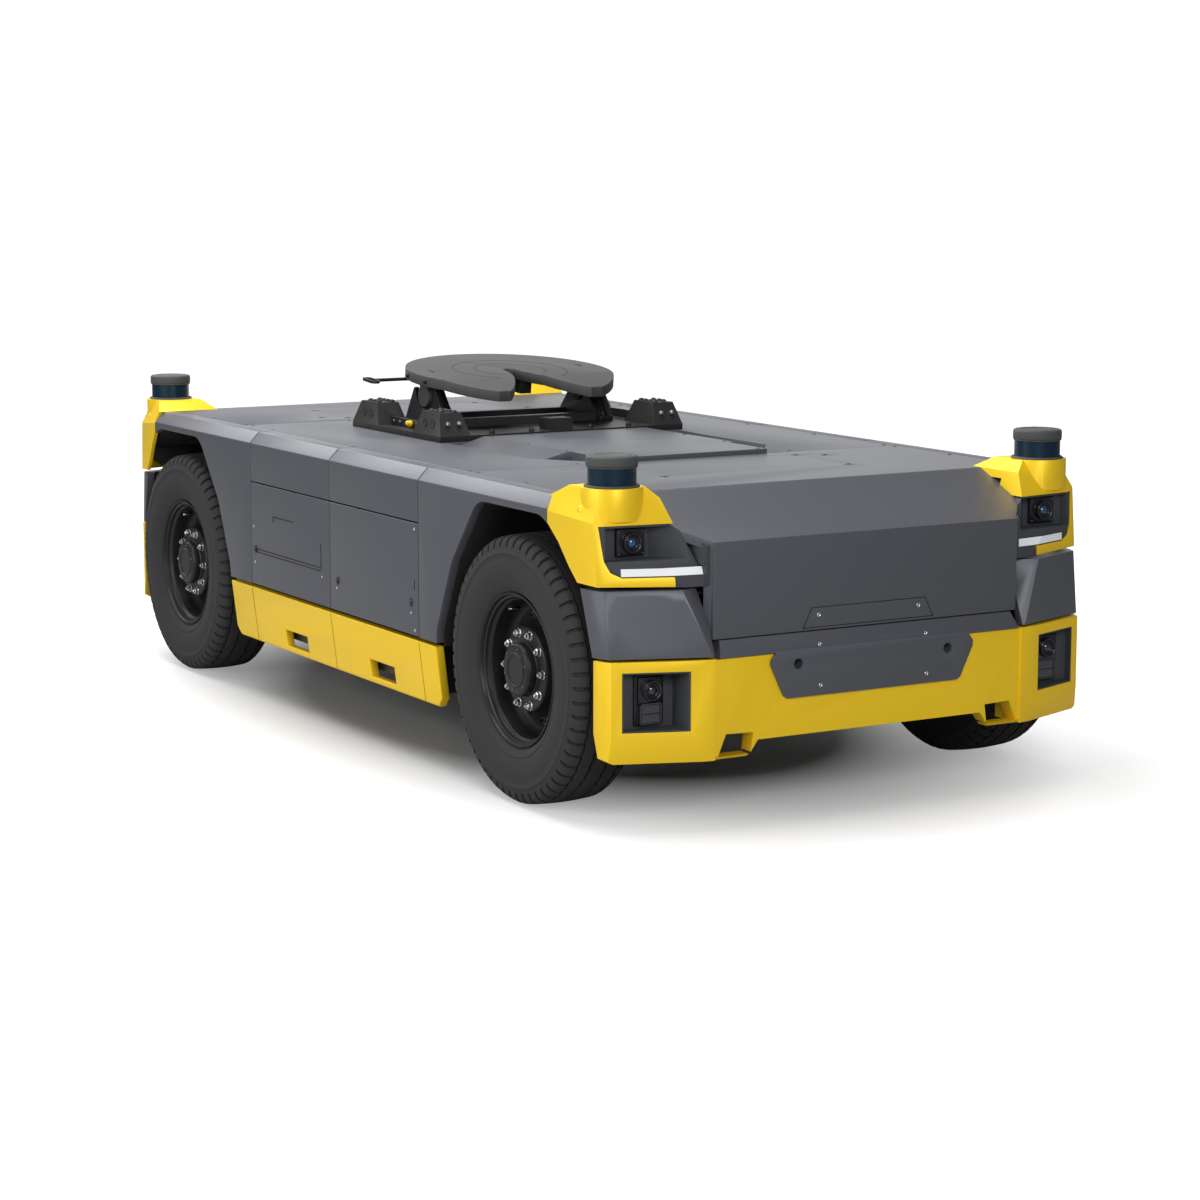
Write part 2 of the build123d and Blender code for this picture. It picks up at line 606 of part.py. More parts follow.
def deck_cover():
    """Raised cover on the centre line with a slanted wing along each side."""
    start = BASE_TRAILER + SEAM
    low = BED_FLOOR
    edge = BED_HALF_WIDTH - WING_GAP
    section = [(-edge, low), (-COVER_HALF_WIDTH, COVER_TOP), (COVER_HALF_WIDTH, COVER_TOP), (edge, low)]
    wings = along_x(section, start, WING_END)
    spine = box(start, HOOD_START - SEAM / 2, -COVER_EDGE, COVER_EDGE, low, COVER_TOP)
    slant = [along_z([(WING_END - 40, s * BED_HALF_WIDTH), (WING_END + 1, s * COVER_EDGE),
                      (WING_END + 1, s * BED_HALF_WIDTH)], low - 1, COVER_TOP + 1) for s in (1, -1)]
    return (wings - slant[0] - slant[1]) + spine


def hood_plan(half, gap=0.0):
    """Half of the hood's plan: it narrows down the slope to its upright front."""
    return [(HOOD_START, half + gap), (HOOD_SLOPE_TOP + 20, half + gap),
            (HOOD_SLOPE_TOP + 20, half - 30 + gap),
            (HOOD_FRONT - 190, HOOD_HALF_WIDTH + 162 + gap),
            (HOOD_FRONT - 10, HOOD_HALF_WIDTH + gap), (HOOD_FRONT + 60, HOOD_HALF_WIDTH + gap)]


def hood_room(gap):
    """The space that the +X hood fills, seen from above and down to its foot."""
    profile = [(HOOD_START, HOOD_FOOT), (HOOD_START, DECK_TOP + gap), (HOOD_SLOPE_TOP, DECK_TOP + gap),
               (HOOD_FRONT + gap, HOOD_CREASE + gap), (HOOD_FRONT + gap, HOOD_FOOT)]
    edge = hood_plan(DECK_EDGE - SEAM / 2, gap)
    outline = edge + [(x, -y) for x, y in reversed(edge)]
    return along_y(profile, -HALF_WIDTH, HALF_WIDTH) & along_z(outline, HOOD_FOOT, CAP_TOP)


def hood():
    """Cover over the +X end: deck plate, slope and upright front in one shell."""
    t = HOOD_WALL
    under = [(HOOD_START - 1, DECK_BOTTOM), (HOOD_SLOPE_TOP - t * 0.3, DECK_BOTTOM),
             (HOOD_FRONT - t, HOOD_CREASE - t * 0.7), (HOOD_FRONT - t, 500), (HOOD_START - 1, 500)]
    foot = box(HOOD_START - 1, HOOD_FRONT + 100, -EVERYWHERE, EVERYWHERE, 500, HOOD_BOTTOM)
    cover = hood_room(0) - along_y(under, -EVERYWHERE, EVERYWHERE) - foot
    dent = extrude(RegularPolygon(HAND_HOLD_RADIUS, 3), amount=HAND_HOLD_DEPTH + 1, dir=(0, 0, 1))
    for x, y in HAND_HOLDS:
        for s in (1, -1):
            cover = cover - Pos(x, s * y, DECK_TOP - HAND_HOLD_DEPTH) * Rot(0, 0, -90 * s) * dent
    return cover


def bumper():
    """Yellow centre bumper in three pieces; each end hangs down round an upswept opening."""
    profile = [(BUMPER_BACK, SCOOP_BOTTOM), (BUMPER_FRONT - 14, SCOOP_BOTTOM),
               (BUMPER_FRONT, SCOOP_BOTTOM + 14), (BUMPER_FRONT, BUMPER_TOP), (BUMPER_BACK, BUMPER_TOP)]
    inner = MODULE_INNER
    joint = inner - BUMPER_END
    half = [(joint, BUMPER_BOTTOM), (inner - 146, SCOOP_BOTTOM), (inner, SCOOP_BOTTOM),
            (inner, BUMPER_TOP)]
    outline = half + [(-y, z) for y, z in reversed(half)]
    bar = along_y(profile, -inner, inner) & along_x(outline, BUMPER_BACK, BUMPER_FRONT)
    floor = SCOOP_BOTTOM + SCOOP_FLOOR
    for s in (1, -1):
        opening = [(s * (inner - 158), floor), (s * (inner - 169), SCOOP_TOP - 4),
                   (s * (inner - 50), SCOOP_TOP), (s * (inner - 14), floor)]
        bar = bar - along_x(opening, BUMPER_BACK - 10, BUMPER_FRONT + 10)
        bar = bar - socket_hole(s, SOCKET_RADIUS + SOCKET_WALL)
    play = SEAT_GAP / 2
    spans = ((-inner, -joint - play), (-joint + play, joint - play), (joint + play, inner))
    return [bar & box(BUMPER_BACK, BUMPER_FRONT, y0, y1, 0, BUMPER_TOP) for y0, y1 in spans]


def socket_hole(side, radius):
    length = BUMPER_DEPTH + PLATE_PROUD
    return Pos(BUMPER_BACK + length / 2, side * SOCKET_Y, SOCKET_Z) * Rot(0, 90, 0) * Cylinder(
        radius, length)


def bumper_plate():
    """Dark lip under the hood and plate below it, with two sockets for a tow eye."""
    front = BUMPER_FRONT + PLATE_PROUD
    foot, head = HOOD_BOTTOM - 4, BUMPER_TOP + 6
    half = HOOD_HALF_WIDTH
    lip = along_y([(BUMPER_BACK, BUMPER_TOP), (BUMPER_FRONT, BUMPER_TOP), (front, head),
                   (HOOD_FRONT + 2, foot), (BUMPER_BACK, foot)], -half, half)
    for s in (1, -1):
        lip = lip - along_x([(s * (half + 1), HOOD_BOTTOM), (s * (half + 1), BUMPER_TOP - 1),
                             (s * (half - 10), BUMPER_TOP - 1), (s * (half - 28), HOOD_BOTTOM)],
                            BUMPER_BACK - 10, front + 10)
    edge = [(392, 470), (408, 480), (466, 600), (466, 618), (440, BUMPER_TOP + 12)]
    outline = edge + [(-y, z) for y, z in reversed(edge)]
    solid = lip + along_x(outline, BUMPER_FRONT, front)
    for s in (1, -1):
        solid = solid + socket_hole(s, SOCKET_RADIUS + SOCKET_WALL)
    for s in (1, -1):
        solid = solid - socket_hole(s, SOCKET_RADIUS)
    return solid


def end_beam():
    """Beam across the rails' ends, behind the bumper."""
    back = BUMPER_BACK - END_BEAM_DEPTH
    beam = box(back, BUMPER_BACK, -MODULE_INNER, MODULE_INNER, END_BEAM_BOTTOM, BUMPER_TOP + 60)
    hangers = [box(RAIL_END - 130, back + 1, s * RAIL_OUTER - s * RAIL_WIDTH, s * RAIL_OUTER,
                   END_BEAM_BOTTOM + 60, RAIL_BOTTOM) for s in (1, -1)]
    return beam + hangers[0] + hangers[1]


def taper(x):
    """Half width of the corner's side, which draws in from the fender towards the end."""
    return HALF_WIDTH - SIDE_TAPER * (x - FENDER_END)


def lamp_pocket(grow):
    """Space of the lower lamp pocket, with its sides and back grown."""
    outer, inner = LAMP_POCKET_INSETS
    low, high = LAMP_POCKET_LEVELS
    back = BUMPER_FRONT - LAMP_POCKET_SETBACK
    return box(back - grow / 4, BUMPER_FRONT + 50, HALF_WIDTH - inner - grow,
               HALF_WIDTH - outer + grow / 2, low - grow, high + grow)


def base_outline():
    """Plan of the corner's yellow foot."""
    back = BUMPER_FRONT - BASE_SKIN_SETBACK
    shoulder = BUMPER_FRONT - BASE_BACK_SETBACK - 14
    return [(back, MODULE_INNER), (back, taper(back)), (shoulder, taper(shoulder))] + end_points(BASE_EDGE)


def corner_base():
    """Yellow foot of the corner: a shell open behind and below, with the lower lamp pocket."""
    wall = MODULE_WALL
    skin = BUMPER_FRONT - BASE_SKIN_SETBACK
    back = BUMPER_FRONT - BASE_BACK_SETBACK
    block = along_z(base_outline(), MODULE_BOTTOM, BASE_TOP)
    room = Pos(-wall, -wall, 0) * along_z(base_outline(), MODULE_BOTTOM - 10, BASE_TOP - wall)
    room = room - box(back, EVERYWHERE, 0, MODULE_INNER + wall, 0, BASE_TOP)
    heel = box(skin - 10, back, 0, taper(back) - wall, MODULE_BOTTOM - 10, BASE_TOP + 10)
    frame = lamp_pocket(wall) & block
    a, b = end_points(BASE_EDGE)[:2]
    chin = half_space((*a, BASE_CREASE), (*b, BASE_CREASE), (b[0] - 12, b[1], MODULE_BOTTOM),
                      (0, 0, BASE_CREASE))
    heel_cut = along_y([(skin - 1, MODULE_BOTTOM - 1), (skin + 30, MODULE_BOTTOM - 1),
                        (skin - 1, 380)], MODULE_INNER, HALF_WIDTH)
    side_cut = along_x([(HALF_WIDTH - 82, MODULE_BOTTOM - 1), (HALF_WIDTH, MODULE_BOTTOM - 1),
                        (HALF_WIDTH, MODULE_BOTTOM + 52), (HALF_WIDTH - 46, MODULE_BOTTOM + 18)],
                       skin - 10, EVERYWHERE)
    return ((block - room - heel + frame) & chin) - heel_cut - side_cut - lamp_pocket(0)


def corner_band():
    """Grey middle part of the corner, leaning back, with a facet that turns in to the hood."""
    rows = []
    for z, edge, setback in ((BAND_BOTTOM, BAND_FOOT_EDGE, BAND_BACK_SETBACKS[0]),
                             (BAND_TOP, BAND_HEAD_EDGE, BAND_BACK_SETBACKS[1])):
        front = end_points(edge)
        back = BUMPER_FRONT - setback
        turn = front[0][0] - 46
        outline = [(back, taper(back) - 3), (turn, taper(turn) - 3)] + front
        outline += [(front[2][0] - BAND_WALL, front[2][1]), (turn, front[0][1] - BAND_WALL),
                    (back, taper(back) - BAND_WALL)]
        rows.append(Pos(0, 0, z) * make_face(Polyline(*outline, close=True)))
    return loft(rows, ruled=True) - hood_room(SEAT_GAP)


# Faces of the cap: three points each, as setback, inset and drop below the cap's top
CAP_FACES = (
    ((139.0, 344.0, 129.0), (171.0, 144.0, 129.0), (66.2, 344.0, 329.0)),     # lamp face, inner
    ((171.0, 46.0, 351.0), (95.0, 246.0, 351.0), (190.6, 46.0, 151.0)),       # lamp face, outer
    ((141.0, 344.0, 124.0), (173.0, 144.0, 124.0), (212.0, 344.0, 0.0)),      # above the brow
    ((469.0, 0.0, 100.0), (194.0, 43.0, 117.0), (396.0, 55.0, 0.0)),          # above the side's crease
)


def cap_body(setback=0.0):
    """Faceted block of the cap before it is hollowed, its front moved back by setback."""
    inside = (BUMPER_FRONT - 280, HALF_WIDTH - 160, CAP_BOTTOM + 160)
    rear = CAP_REAR - 160
    plan = [(rear, 0), (rear, taper(rear)), (BUMPER_FRONT, taper(BUMPER_FRONT)), (BUMPER_FRONT, 0)]
    body = along_z(plan, CAP_BOTTOM, CAP_TOP)
    for face in CAP_FACES:
        p, q, r = ((BUMPER_FRONT - back, HALF_WIDTH - inset, CAP_TOP - drop) for back, inset, drop in face)
        body = body & half_space(p, q, r, inside)
    return Pos(-setback, 0, 0) * body


def cap_window(play=0.0):
    """Outline of the headlamp's opening, made smaller by play."""
    w = HALF_WIDTH
    return [(w - STRIP_INSET, STRIP_TOP + play), (w - 132 - play, STRIP_TOP + play),
            (w - 92 - play, STRIP_TOP + 20 + play), (w - 71 - play, STRIP_TOP + 62),
            (w - 57 - play, LAMP_TOP - play), (w - 330, LAMP_TOP - play)]


def corner_cap():
    """Yellow cap round the headlamp, with a flat top that carries the lidar."""
    w = HALF_WIDTH
    start = FENDER_END + SEAM / 2
    profile = [(start, CREASE_HEIGHT - 50), (start, DECK_TOP + SEAT_GAP), (CAP_REAR, DECK_TOP + SEAT_GAP),
               (CAP_FLAT_REAR, CAP_TOP), (BUMPER_FRONT, CAP_TOP), (BUMPER_FRONT, CAP_BOTTOM),
               (BUMPER_FRONT - 288, CAP_BOTTOM + 12), (BUMPER_FRONT - 336, CAP_BOTTOM + 65),
               (BUMPER_FRONT - 400, CAP_BOTTOM + 151)]
    section = [(w - STRIP_INSET, CAP_BOTTOM), (w, CAP_BOTTOM), (w, CAP_TOP), (w - 274, CAP_TOP),
               (w - 321, CAP_TOP - 44), (w - 344, LAMP_TOP), (w - STRIP_INSET, LAMP_TOP)]
    collar = Pos(LIDAR_X, LIDAR_Y, CAP_TOP - 60) * Cylinder(LIDAR_COLLAR_RADIUS, 120)
    cap = (cap_body() & along_x(section, 0, EVERYWHERE)) + collar
    cap = cap & along_y(profile, 0, EVERYWHERE)
    room = Pos(0, -CAP_WALL, 0) * cap_body(CAP_WALL) & box(0, EVERYWHERE, 0, w, 0, LAMP_TOP)
    well = box(0, WELL_END + 5, 0, INNER_FACE + SEAT_GAP, 0, DECK_BOTTOM + SEAT_GAP)
    window = along_x([(0, STRIP_TOP)] + cap_window()[1:-1] + [(0, LAMP_TOP)], BUMPER_FRONT - 240,
                     BUMPER_FRONT)
    return cap - room - well - hood_room(SEAT_GAP) - window


def light_bar():
    """Slim bar of white light that follows the headlamp's swept front."""
    span = box(0, EVERYWHERE, MODULE_INNER + 16, HALF_WIDTH - 130, BAR_BOTTOM, BAR_TOP)
    return (cap_body(3) & span) - cap_body(18)


def headlamp():
    """Dark housing in the cap's window, with a slanted cheek beside the hood."""
    w = HALF_WIDTH
    inner = MODULE_INNER + 6
    outline = [(inner, CAP_BOTTOM), (w - STRIP_INSET - 1, CAP_BOTTOM), (w - STRIP_INSET - 1, STRIP_TOP)]
    outline += cap_window(SEAT_GAP)[1:] + [(inner, CAP_BOTTOM + 151)]
    back = BUMPER_FRONT - RECESS_SETBACK
    block = (cap_body(5) & box(back - 22, EVERYWHERE, 0, w, 0, LAMP_TOP)
             & along_x(outline, 0, EVERYWHERE))
    foot = CAP_BOTTOM
    mouth = along_x([(w - 74, foot + 97), (w - 66, LAMP_TOP - 8), (w - 344, LAMP_TOP - 8),
                     (w - 415, foot + 151), (w - 375, foot + 101)], 0, EVERYWHERE)
    wedge = along_z([(back, w - 280), (back, w - 90), (back + 90, w - 60), (BUMPER_FRONT, w - 60),
                     (BUMPER_FRONT, w - 470)], 0, EVERYWHERE)
    return block - (mouth & wedge) - light_bar() - hood_room(SEAT_GAP)


def camera():
    """Square camera body with a round lens, in the headlamp's recess."""
    x = BUMPER_FRONT - RECESS_SETBACK
    y, z = HALF_WIDTH - CAMERA_INSET, CAP_BOTTOM + CAMERA_RISE
    half, rise = CAMERA_HALF_WIDTH, CAMERA_HALF_HEIGHT
    body = box(x, x + 18, y - half, y + half, z - rise, z + rise)
    lens = Pos(x + 24, y, z) * Rot(0, 90, 0) * Cylinder(CAMERA_LENS_RADIUS, 14)
    return body + lens


def pocket_liner():
    """Dark lining of the lower lamp pocket."""
    wall = LINER_WALL
    outer, inner = LAMP_POCKET_INSETS
    low, high = LAMP_POCKET_LEVELS
    space = box(BUMPER_FRONT - LAMP_POCKET_SETBACK + wall, EVERYWHERE, HALF_WIDTH - inner + wall,
                HALF_WIDTH - outer - wall, low + wall, high - wall)
    return (lamp_pocket(0) - space) & Pos(-3, 0, 0) * along_z(base_outline(), 0, BASE_TOP)


def low_lamps():
    """Round lamp over a square one, joined by their bracket."""
    y = HALF_WIDTH - LOW_LAMP_INSET
    low = LAMP_POCKET_LEVELS[0]
    back = BUMPER_FRONT - LAMP_POCKET_SETBACK + LINER_WALL
    bracket = box(back, back + 12, y - 62, y + 62, low + 18, low + 204)
    bezel = box(back + 11, back + 26, y - 52, y + 52, low + 102, low + 198)
    upper = Pos(back + 30, y, low + 149) * Rot(0, 90, 0) * Cylinder(38, 12)
    lower = box(back + 11, back + 24, y - 46, y + 46, low + 26, low + 96)
    return bracket + bezel + upper + lower


def lidar_window():
    return Pos(LIDAR_X, LIDAR_Y, CAP_TOP + LIDAR_HEIGHT / 2) * Cylinder(LIDAR_RADIUS, LIDAR_HEIGHT)


def lidar_cap():
    z = CAP_TOP + LIDAR_HEIGHT
    cap = Cylinder(LIDAR_CAP_RADIUS, LIDAR_CAP_HEIGHT)
    cap = chamfer(cap.edges().filter_by(GeomType.CIRCLE).group_by(Axis.Z)[-1], 6)
    return Pos(LIDAR_X, LIDAR_Y, z + LIDAR_CAP_HEIGHT / 2) * cap


# Coupling
def coupling_base():
    """Plate on the deck with a tapered block on each corner and a low rail along each side."""
    z = DECK_TOP + BASE_THICKNESS
    base = box(BASE_LEAD, BASE_TRAILER, -BASE_HALF_WIDTH, BASE_HALF_WIDTH, DECK_TOP, z)
    foot_x, foot_y = BLOCK_FOOT
    head_x, head_y = BLOCK_HEAD
    block = loft([Pos(0, 0, z - 1) * Rectangle(foot_x, foot_y),
                  Pos(0, 0, z + BLOCK_HEIGHT) * Rectangle(head_x, head_y)], ruled=True)
    y = BASE_HALF_WIDTH - foot_y / 2
    ends = (BASE_LEAD + foot_x / 2, BASE_TRAILER - foot_x / 2)
    for x in ends:
        for side in (1, -1):
            base = base + Pos(x, side * y, 0) * block
    rail = box(ends[0], ends[1], y - BASE_RAIL_WIDTH / 2, y + BASE_RAIL_WIDTH / 2,
               z - 1, z + BASE_RAIL_HEIGHT)
    base = base + rail + other_side(rail)
    reach = SADDLE_CENTRE - SADDLE_THICKNESS / 2
    for x in (PIVOT_X - 0.7 * SADDLE_FOOT, PIVOT_X + 0.7 * SADDLE_FOOT):
        base = base + box(x - 22, x + 22, -reach, reach, z - 1, z + BASE_RAIL_HEIGHT)
    stop = box(BASE_TRAILER - 120, BASE_TRAILER - 30, -60, 60, z - 1, z + 52)
    return base + stop


def saddles():
    """Bracket at each side: an inner leg with the bearing notch, an outer plate with a wide one."""
    z = DECK_TOP + BASE_THICKNESS
    x, foot, peak = PIVOT_X, SADDLE_FOOT, PIVOT_Z + SADDLE_PEAK
    y0 = SADDLE_CENTRE - SADDLE_THICKNESS / 2
    y1 = y0 + SADDLE_THICKNESS
    bearing, wide = BEARING_RADIUS, WIDE_NOTCH_RADIUS
    leg = along_y([(x - foot, z), (x + foot, z), (x + bearing + 56, PIVOT_Z - 30),
                   (x + bearing + 6, peak), (x - bearing - 6, peak),
                   (x - bearing - 56, PIVOT_Z - 30)], y0, y0 + SADDLE_LEG)
    notch = Pos(x, SADDLE_CENTRE, PIVOT_Z) * Rot(90, 0, 0) * Cylinder(bearing, 3 * SADDLE_THICKNESS)
    mouth = box(x - bearing, x + bearing, y0 - 5, y1 + 5, PIVOT_Z, peak + 10)
    face = along_y([(x - foot, z), (x + foot, z), (x + wide + 26, peak - 24), (x + wide + 10, peak),
                    (x - wide - 10, peak), (x - wide - 26, peak - 24)], y1 - SADDLE_FACE, y1)
    hollow = Pos(x, SADDLE_CENTRE, peak) * Rot(90, 0, 0) * Cylinder(wide, 3 * SADDLE_THICKNESS)
    sole = box(x - foot, x + foot, y0, y1, z, z + SADDLE_FACE)
    return both_sides((leg - notch - mouth) + (face - hollow) + sole)


def bent_slab(top, thickness):
    """Slab with its level part behind and a ramp down to the mouth, about the plate's centre."""
    reach = PLATE_RADIUS + 30
    drop = (reach - RAMP_START) * math.tan(math.radians(RAMP_ANGLE))
    return along_y([(-reach, top), (RAMP_START, top), (reach, top - drop),
                    (reach, top - drop - thickness), (RAMP_START, top - thickness),
                    (-reach, top - thickness)], -reach, reach)


def plate_plan(inset, z0, z1):
    """Round plate with its mouth open towards +X and its front corners cut."""
    height = z1 - z0
    disc = extrude(Circle(PLATE_RADIUS - inset), amount=height, dir=(0, 0, 1))
    flat = box(PLATE_FRONT - inset, 2 * PLATE_RADIUS, -EVERYWHERE, EVERYWHERE, 0, height)
    half, mouth = THROAT_RADIUS + inset, THROAT_HALF_MOUTH + inset
    bend = half + THROAT_BOW * (mouth - half)
    curve = ThreePointArc((0, half), (THROAT_BEND, bend), (PLATE_FRONT, mouth))
    far = ThreePointArc((PLATE_FRONT, -mouth), (THROAT_BEND, -bend), (0, -half))
    outline = [curve, Line((PLATE_FRONT, mouth), (2 * PLATE_RADIUS, mouth)),
               Line((2 * PLATE_RADIUS, mouth), (2 * PLATE_RADIUS, -mouth)),
               Line((2 * PLATE_RADIUS, -mouth), (PLATE_FRONT, -mouth)), far, Line((0, -half), (0, half))]
    slot = extrude(make_face(outline), amount=height, dir=(0, 0, 1))
    hole = extrude(Circle(half), amount=height, dir=(0, 0, 1))
    return Pos(0, 0, z0) * (disc - flat - slot - hole)


def coupling_plate():
    """Plate with a throat, ribs and two hanging lugs whose round bosses sit in the saddles."""
    z0 = PLATE_RISE
    skin = bent_slab(z0, PLATE_SKIRT) & plate_plan(0, -300, 300)
    pocket = bent_slab(z0 - PLATE_SKIN, PLATE_SKIRT) & plate_plan(22, -300, 300)
    plate = skin - pocket
    radius = BEARING_RADIUS - BEARING_PLAY
    length = SADDLE_THICKNESS + 16
    trim = bent_slab(z0, 400) & plate_plan(0, -300, 300)
    for s in (1, -1):
        y = s * SADDLE_CENTRE
        boss = Pos(0, y, 0) * Rot(90, 0, 0) * Cylinder(radius, length)
        neck = box(14 - radius, radius - 14, y - length / 2, y + length / 2, 0, z0 - PLATE_SKIN + 1)
        rib = box(-12, 12, s * SADDLE_CENTRE, s * JAW_HALF_WIDTH, z0 - PLATE_SKIRT,
                  z0 - PLATE_SKIN + 1)
        plate = plate + ((boss + neck + rib) & trim)
    return plate


def coupling_lock():
    """Lock jaw under the plate, with the release rod and its ring out at the left side."""
    top = PLATE_RISE - PLATE_SKIRT - SEAT_GAP
    jaw = box(-170, 40, -JAW_HALF_WIDTH, JAW_HALF_WIDTH, top - 60, top)
    jaw = jaw - box(-40, 60, -38, 38, top - 80, top + 10)
    arm = box(HANDLE_X - 14, -150, -JAW_HALF_WIDTH, -JAW_HALF_WIDTH + 40, top - 22, top)
    length = HANDLE_REACH - JAW_HALF_WIDTH
    rod = Pos(HANDLE_X, -JAW_HALF_WIDTH - length / 2 + 10, top - HANDLE_RADIUS) * Rot(90, 0, 0) * Cylinder(
        HANDLE_RADIUS, length + 20)
    ring = extrude(SlotOverall(120, 46) - SlotOverall(96, 24), amount=12, dir=(0, 0, 1))
    ring = Pos(HANDLE_X, -HANDLE_REACH - 12, top - HANDLE_RADIUS - 6) * ring
    return jaw + arm + rod + ring


def on_plate(shape):
    """Put a shape drawn about the pivot where the plate rests, tilted towards +X."""
    return Pos(PIVOT_X, 0, PIVOT_Z) * Rot(0, PLATE_REST_TILT, 0) * shape


def write_nodes():
    os.makedirs("parts", exist_ok=True)
    for end_name, end in ENDS:
        for side_name, side in SIDES:
            tag = f"{end_name}_{side_name}"
            save(f"rim_{tag}", placed(rim(), end, side))
            save(f"tyre_{tag}", placed(tyre(), end, side))
            save(f"knuckle_{tag}", placed(knuckle(), end, side))
            save(f"door_{tag}", placed(door(end), end, side))
        cover = hood()
        save(f"hood_{end_name}", cover if end > 0 else other_end(cover))
    save("fenders", fenders(1) + fenders(-1))
    save("air_springs", air_springs())
    save("frame_rails", frame_rails())
    save("cross_members", cross_members())
    save("outriggers", outriggers())
    save("batteries", batteries())
    save("side_panels", side_panels())
    save("skirts", both_sides(skirt()))
    save("deck", deck())
    save("deck_cover", deck_cover())
    for name, shape in (("axles", axle_beam()), ("end_beams", end_beam()),
                        ("bumper_plates", bumper_plate())):
        save(name, both_ends([shape]))
    save("bumpers", both_ends(bumper()))
    corner_nodes = (
        ("wheel_wells", [wheel_well()]), ("corner_bases", [corner_base()]),
        ("corner_bands", [corner_band()]), ("corner_caps", [corner_cap()]),
        ("lamp_housings", [headlamp(), pocket_liner()]), ("light_bars", [light_bar()]),
        ("lamps", [camera(), low_lamps()]), ("lidar_windows", [lidar_window()]),
        ("lidar_caps", [lidar_cap()]),
    )
    for name, shapes in corner_nodes:
        save(name, both_ends([s for shape in shapes for s in both_sides(shape)]))
    save("coupling_base", coupling_base())
    save("coupling_saddles", saddles())
    save("coupling_plate", on_plate(coupling_plate()))
    save("coupling_lock", on_plate(coupling_lock()))


write_nodes()
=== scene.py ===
"""Finishes, tyres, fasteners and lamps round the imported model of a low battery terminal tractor."""
import json
import math

import bmesh
import bpy
import numpy as np
from bpy.props import FloatProperty, FloatVectorProperty, IntProperty, PointerProperty
from mathutils import Matrix, Vector


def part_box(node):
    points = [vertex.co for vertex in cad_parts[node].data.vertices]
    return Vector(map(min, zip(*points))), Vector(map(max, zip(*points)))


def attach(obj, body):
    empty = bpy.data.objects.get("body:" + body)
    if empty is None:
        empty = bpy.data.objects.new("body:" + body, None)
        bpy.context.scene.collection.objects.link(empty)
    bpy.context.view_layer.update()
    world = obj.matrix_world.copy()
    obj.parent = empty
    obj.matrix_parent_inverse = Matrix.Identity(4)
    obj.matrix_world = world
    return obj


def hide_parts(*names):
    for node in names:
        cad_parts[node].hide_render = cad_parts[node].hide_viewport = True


bl_info = {
    "name": "Cabless terminal tractor",
    "version": (1, 0, 0),
    "blender": (4, 5, 0),
    "location": "3D View > Sidebar > Tractor",
    "description": "Finishes, tyres, fasteners and lamps of a low battery terminal tractor",
    "category": "Object",
}

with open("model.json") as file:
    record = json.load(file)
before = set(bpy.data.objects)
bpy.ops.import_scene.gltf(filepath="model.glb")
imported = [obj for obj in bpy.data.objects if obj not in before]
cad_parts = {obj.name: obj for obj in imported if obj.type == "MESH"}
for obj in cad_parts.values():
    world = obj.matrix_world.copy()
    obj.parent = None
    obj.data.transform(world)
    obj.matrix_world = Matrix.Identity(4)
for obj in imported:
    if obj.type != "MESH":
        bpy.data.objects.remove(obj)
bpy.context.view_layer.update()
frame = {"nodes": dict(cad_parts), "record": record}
NODES = frame["nodes"]
SLOT_OF = {part["node"]: part["material_slot"] for part in frame["record"]["subparts"]}
BODY_OF = {node: body for body, nodes in frame["record"]["behaviour"]["bodies"].items() for node in nodes}
ENDS = (("trailer_end", 1), ("lead_end", -1))
CORNERS = [(f"{end}_{side}", ex, sy) for end, ex in ENDS for side, sy in (("right", 1), ("left", -1))]


class TractorSizes(bpy.types.PropertyGroup):
    """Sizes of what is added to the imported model."""
    tread_depth: FloatProperty(name="Tread depth", description="Depth of the tyre's grooves",
                               default=0.014, unit="LENGTH")
    lug_count: IntProperty(name="Shoulder lugs", description="Lugs round each shoulder", default=58)
    nut_circle: FloatProperty(name="Nut circle", description="Diameter of the circle of wheel nuts",
                              default=0.285, unit="LENGTH")
    nut_count: IntProperty(name="Wheel nuts", description="Nuts on each wheel", default=10)
    nut_radius: FloatProperty(name="Nut size", description="Half the width over a nut's corners",
                              default=0.0148, unit="LENGTH")
    screw_radius: FloatProperty(name="Screw size", description="Radius of a panel screw's head",
                                default=0.0085, unit="LENGTH")
    bolt_radius: FloatProperty(name="Bolt size", description="Radius of a coupling bolt's head",
                               default=0.0128, unit="LENGTH")
    yellow_edge: FloatProperty(name="Yellow edge", description="Rounding of the yellow mouldings",
                               default=0.012, unit="LENGTH")
    grey_edge: FloatProperty(name="Grey edge", description="Rounding of the folded panels",
                             default=0.0035, unit="LENGTH")
    steel_edge: FloatProperty(name="Steel edge", description="Rounding of the coupling's castings",
                              default=0.003, unit="LENGTH")
    seam_width: FloatProperty(name="Flap seam", description="Width of a flap's shut line",
                              default=0.0032, unit="LENGTH")


def colour(name, description, value):
    """A colour property with its default in linear light."""
    return FloatVectorProperty(name=name, description=description, subtype="COLOR", size=3,
                               min=0.0, max=1.0, default=value)


